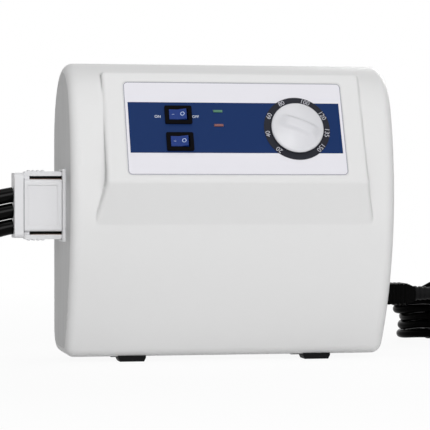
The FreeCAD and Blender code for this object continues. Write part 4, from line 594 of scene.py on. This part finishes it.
# Enamelled copper wire, wound side by side: orange ridges, drawn 1.6 mm apart so that they show.
wound_copper, tree, shader, bump, place = finish(
    "enamelled_copper_winding", "B4622C", 0.3, grain=0.6, depth=0.004, Metallic=1.0)
wires = add(tree, "ShaderNodeTexWave", {"Vector": place, "Scale": WAVE_SCALE}, bands_direction="Z")
ridges = add(tree, "ShaderNodeBump", {
    "Height": wires.outputs[1], "Distance": 0.0003, "Strength": 1.0, "Normal": bump.outputs[0]})
tree.links.new(ridges.outputs[0], shader.inputs["Normal"])

# Glass-fibre board under green solder mask: tracks show as paler lines 2 mm apart.
MASK_GREEN = "1E5A3A"
board_mask, tree, shader, _, place = finish("green_solder_mask", MASK_GREEN, 0.3, grain=0.7, depth=0.004)
tracks = add(tree, "ShaderNodeTexBrick", {
    "Vector": place, "Scale": 120.0, "Mortar Size": 0.03, "Color1": linear(MASK_GREEN),
    "Color2": linear("21603E"), "Mortar": linear("3E8A5E")})
tree.links.new(tracks.outputs[0], shader.inputs["Base Color"])

# Open-cell polyurethane foam: dark grey, all pores, about 1 mm each.
filter_foam, tree, shader, bump, place = finish("open_cell_foam", "4A4B4F", 0.95, grain=0.9, depth=0.05)
pores = add(tree, "ShaderNodeTexVoronoi", {"Vector": place, "Scale": 900.0})
deep = add(tree, "ShaderNodeBump", {
    "Height": pores.outputs[0], "Distance": 0.0006, "Strength": 1.0, "Normal": bump.outputs[0]})
tree.links.new(deep.outputs[0], shader.inputs["Normal"])

# Silicone tube: milky, soft and half clear.
silicone = finish("milky_silicone", "DAD9D2", 0.42, grain=3.0, depth=0.01, IOR=1.41,
                  Transmission_Weight=0.35)[0]

# Painted shade for the plug's seam: mid grey, matt and slightly open.
seam_shade_grey = finish("painted_seam_shade_grey", "8C8C90", 0.8, grain=0.6, depth=0.02)[0]

# Painted shade for the latch slots: nearly black with a dull sheen.
slot_shade_black = finish("painted_slot_shade_black", "141312", 0.4, grain=0.8, depth=0.004,
                      Specular_IOR_Level=0.1)[0]

# The latch slots' strip: pinkish brown and satin.
pinkish_brown_strip = finish("pinkish_brown_slot_strip", "8A6A5A", 0.4, grain=0.6, depth=0.003,
                     stretch=(0.1, 1, 1))[0]

# ---- grip rings ------------------------------------------------------------------------------
# Rows of round rings on the hoses' end connectors, one row above another.

RING_SIZES = {
    "Start": (-0.4076, 0.0242, 0.00615), "Rows": 3, "Row Pitch": 0.0123, "Rings": 5,
    "Ring Pitch": 0.0022, "Radius": 0.00545, "Thickness": 0.0005, "Material": satin_abs}
SOCKETS = {tuple: "NodeSocketVector", int: "NodeSocketInt", float: "NodeSocketFloat",
           bpy.types.Material: "NodeSocketMaterial"}
ring_tree = bpy.data.node_groups.new("grip_rings", "GeometryNodeTree")
ring_inputs = {
    title: ring_tree.interface.new_socket(title, in_out="INPUT", socket_type=SOCKETS[type(value)])
    for title, value in RING_SIZES.items()}
ring_tree.interface.new_socket("Geometry", in_out="OUTPUT", socket_type="NodeSocketGeometry")
given = add(ring_tree, "NodeGroupInput").outputs
upward = add(ring_tree, "ShaderNodeCombineXYZ", {2: given["Row Pitch"]}).outputs[0]
along = add(ring_tree, "ShaderNodeCombineXYZ", {0: given["Ring Pitch"]}).outputs[0]
starts = add(ring_tree, "GeometryNodeMeshLine", {
    "Count": given["Rows"], "Start Location": given["Start"], "Offset": upward}).outputs[0]
row_points = add(ring_tree, "GeometryNodeMeshLine", {
    "Count": given["Rings"], "Offset": along}).outputs[0]
path = add(ring_tree, "GeometryNodeCurvePrimitiveCircle", {
    "Resolution": 48, "Radius": given["Radius"]}).outputs[0]
section = add(ring_tree, "GeometryNodeCurvePrimitiveCircle", {
    "Resolution": 10, "Radius": given["Thickness"]}).outputs[0]
ring = add(ring_tree, "GeometryNodeCurveToMesh", {
    "Curve": path, "Profile Curve": section}).outputs[0]
one_row = add(ring_tree, "GeometryNodeInstanceOnPoints", {
    "Points": row_points, "Instance": ring, "Rotation": (0, pi / 2, 0)}).outputs[0]
all_rows = add(ring_tree, "GeometryNodeInstanceOnPoints", {
    "Points": starts, "Instance": one_row}).outputs[0]
whole = add(ring_tree, "GeometryNodeRealizeInstances", {"Geometry": all_rows}).outputs[0]
dressed = add(ring_tree, "GeometryNodeSetMaterial", {
    "Geometry": whole, "Material": given["Material"]}).outputs[0]
add(ring_tree, "NodeGroupOutput", {"Geometry": dressed})

connector_rings = bpy.data.objects.new("connector_grip_rings", bpy.data.meshes.new("empty"))
scene.collection.objects.link(connector_rings)
modifier = connector_rings.modifiers.new("grip_rings", "NODES")
modifier.node_group = ring_tree
for title, value in RING_SIZES.items():
    modifier[ring_inputs[title].identifier] = value
ring_mesh = bpy.data.meshes.new_from_object(
    connector_rings.evaluated_get(bpy.context.evaluated_depsgraph_get()))
connector_rings.modifiers.remove(modifier)
connector_rings.data = ring_mesh
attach(connector_rings, "hose_plug")

# ---- which piece has which finish ------------------------------------------------------------

FINISHES = {
    "case_plastic": case_abs, "label_film": label_film, "knob_plastic": knob_abs,
    "scale_print": scale_film, "switch_plastic": switch_nylon,
    "rocker_plastic": rocker_polycarbonate, "green_lens": green_lens, "red_lens": red_lens,
    "white_plastic": satin_abs, "black_rubber": rubber, "hose_tube": hose_pvc,
    "lead_sheath": sheath_pvc, "black_plastic": grip_pvc, "plated_steel": zinc_plate,
    "brass": turned_brass, "steel": rolled_steel, "aluminium": cast_aluminium,
    "copper_coil": wound_copper, "circuit_board": board_mask, "filter_foam": filter_foam,
    "silicone": silicone,
}
for row in frame["record"]["subparts"]:
    for holder in frame["nodes"][row["node"]].material_slots:
        holder.material = FINISHES[row["material_slot"]]
for piece, made in [
        *((hose, hose_pvc) for hose in hoses), (lead, sheath_pvc), (dial_cap, knob_abs),
        (dial_shaft, turned_brass), (plug_seam_shade, seam_shade_grey), (slot_shade_plates, slot_shade_black),
        (upper_slot_strip, pinkish_brown_strip), (lower_slot_strip, pinkish_brown_strip),
        (hose_tie, strap_weave), (lead_tie, strap_weave), (dial_numbers, number_ink),
        (switch_words, word_ink), *((mark, mark_ink) for mark in rocker_marks)]:
    piece.data.materials.clear()
    piece.data.materials.append(made)

# ---- floor, world and lamps ------------------------------------------------------------------

ground = bmesh.new()
bmesh.ops.create_grid(ground, x_segments=1, y_segments=1, size=12)
sheet = bpy.data.meshes.new("floor")
ground.to_mesh(sheet)
ground.free()
floor = bpy.data.objects.new("floor", sheet)
scene.collection.objects.link(floor)


def seen_rays(tree):
    """1 for rays that come from the camera or through a reflection or a clear piece, else 0."""
    rays = add(tree, "ShaderNodeLightPath")
    seen = add(tree, "ShaderNodeMath", {
        0: rays.outputs["Is Camera Ray"], 1: rays.outputs["Is Glossy Ray"]}, operation="MAXIMUM")
    return add(tree, "ShaderNodeMath", {
        0: seen.outputs[0], 1: rays.outputs["Is Transmission Ray"]}, operation="MAXIMUM").outputs[0]


# White paper that keeps the pump's shadow near it and fades to plain white further off.
paper = bpy.data.materials.new("white_paper_floor")
paper.use_nodes = True
tree = paper.node_tree
tree.nodes.clear()
seen = seen_rays(tree)
place = add(tree, "ShaderNodeTexCoord").outputs["Object"]
far = add(tree, "ShaderNodeVectorMath", {0: place}, operation="LENGTH").outputs["Value"]
fade = add(tree, "ShaderNodeMapRange", {"Value": far, "From Min": 0.3, "From Max": 1.2,
                                        "To Min": 0.93, "To Max": 1.0})
share = add(tree, "ShaderNodeMath", {0: seen, 1: fade.outputs[0]}, operation="MULTIPLY")
matt = add(tree, "ShaderNodeBsdfDiffuse", {"Color": linear("F4F4F4")})
glow = add(tree, "ShaderNodeEmission", {"Color": (1, 1, 1, 1), "Strength": 1.0})
both = add(tree, "ShaderNodeMixShader", {0: share.outputs[0], 1: matt.outputs[0], 2: glow.outputs[0]})
add(tree, "ShaderNodeOutputMaterial", {"Surface": both.outputs[0]})
sheet.materials.append(paper)

# A room that looks plain white but lights the pump only dimly.
sky = bpy.data.worlds.new("studio")
sky.use_nodes = True
scene.world = sky
tree = sky.node_tree
tree.nodes.clear()
dim = add(tree, "ShaderNodeBackground", {"Color": (1, 1, 1, 1), "Strength": 0.165})
white = add(tree, "ShaderNodeBackground", {"Color": (1, 1, 1, 1), "Strength": 1.0})
both = add(tree, "ShaderNodeMixShader", {0: seen_rays(tree), 1: dim.outputs[0], 2: white.outputs[0]})
add(tree, "ShaderNodeOutputWorld", {"Surface": both.outputs[0]})


def lamp(name, place, aim, width, power):
    """A soft square lamp turned towards a point: width in metres, power in watts."""
    light = bpy.data.lights.new(name, "AREA")
    light.size = width
    light.energy = power
    holder = bpy.data.objects.new(name, light)
    holder.location = place
    holder.rotation_euler = (Vector(aim) - Vector(place)).to_track_quat("-Z", "Y").to_euler()
    scene.collection.objects.link(holder)


MIDDLE = (0, 0, 0.12)  # of the case, where most lamps aim
lamp("front_softbox", (-0.55, -2.4, 0.9), MIDDLE, 1.3, 27.5)
lamp("low_softbox", (0.1, -2.5, 0.45), MIDDLE, 1.3, 12)
lamp("overhead_softbox", (0.1, -0.5, 2.1), (0, 0, 0.1), 1.2, 10)
lamp("back_softbox", (1.3, 1.8, 1.2), MIDDLE, 1.3, 26)

scene.view_settings.view_transform = "Standard"
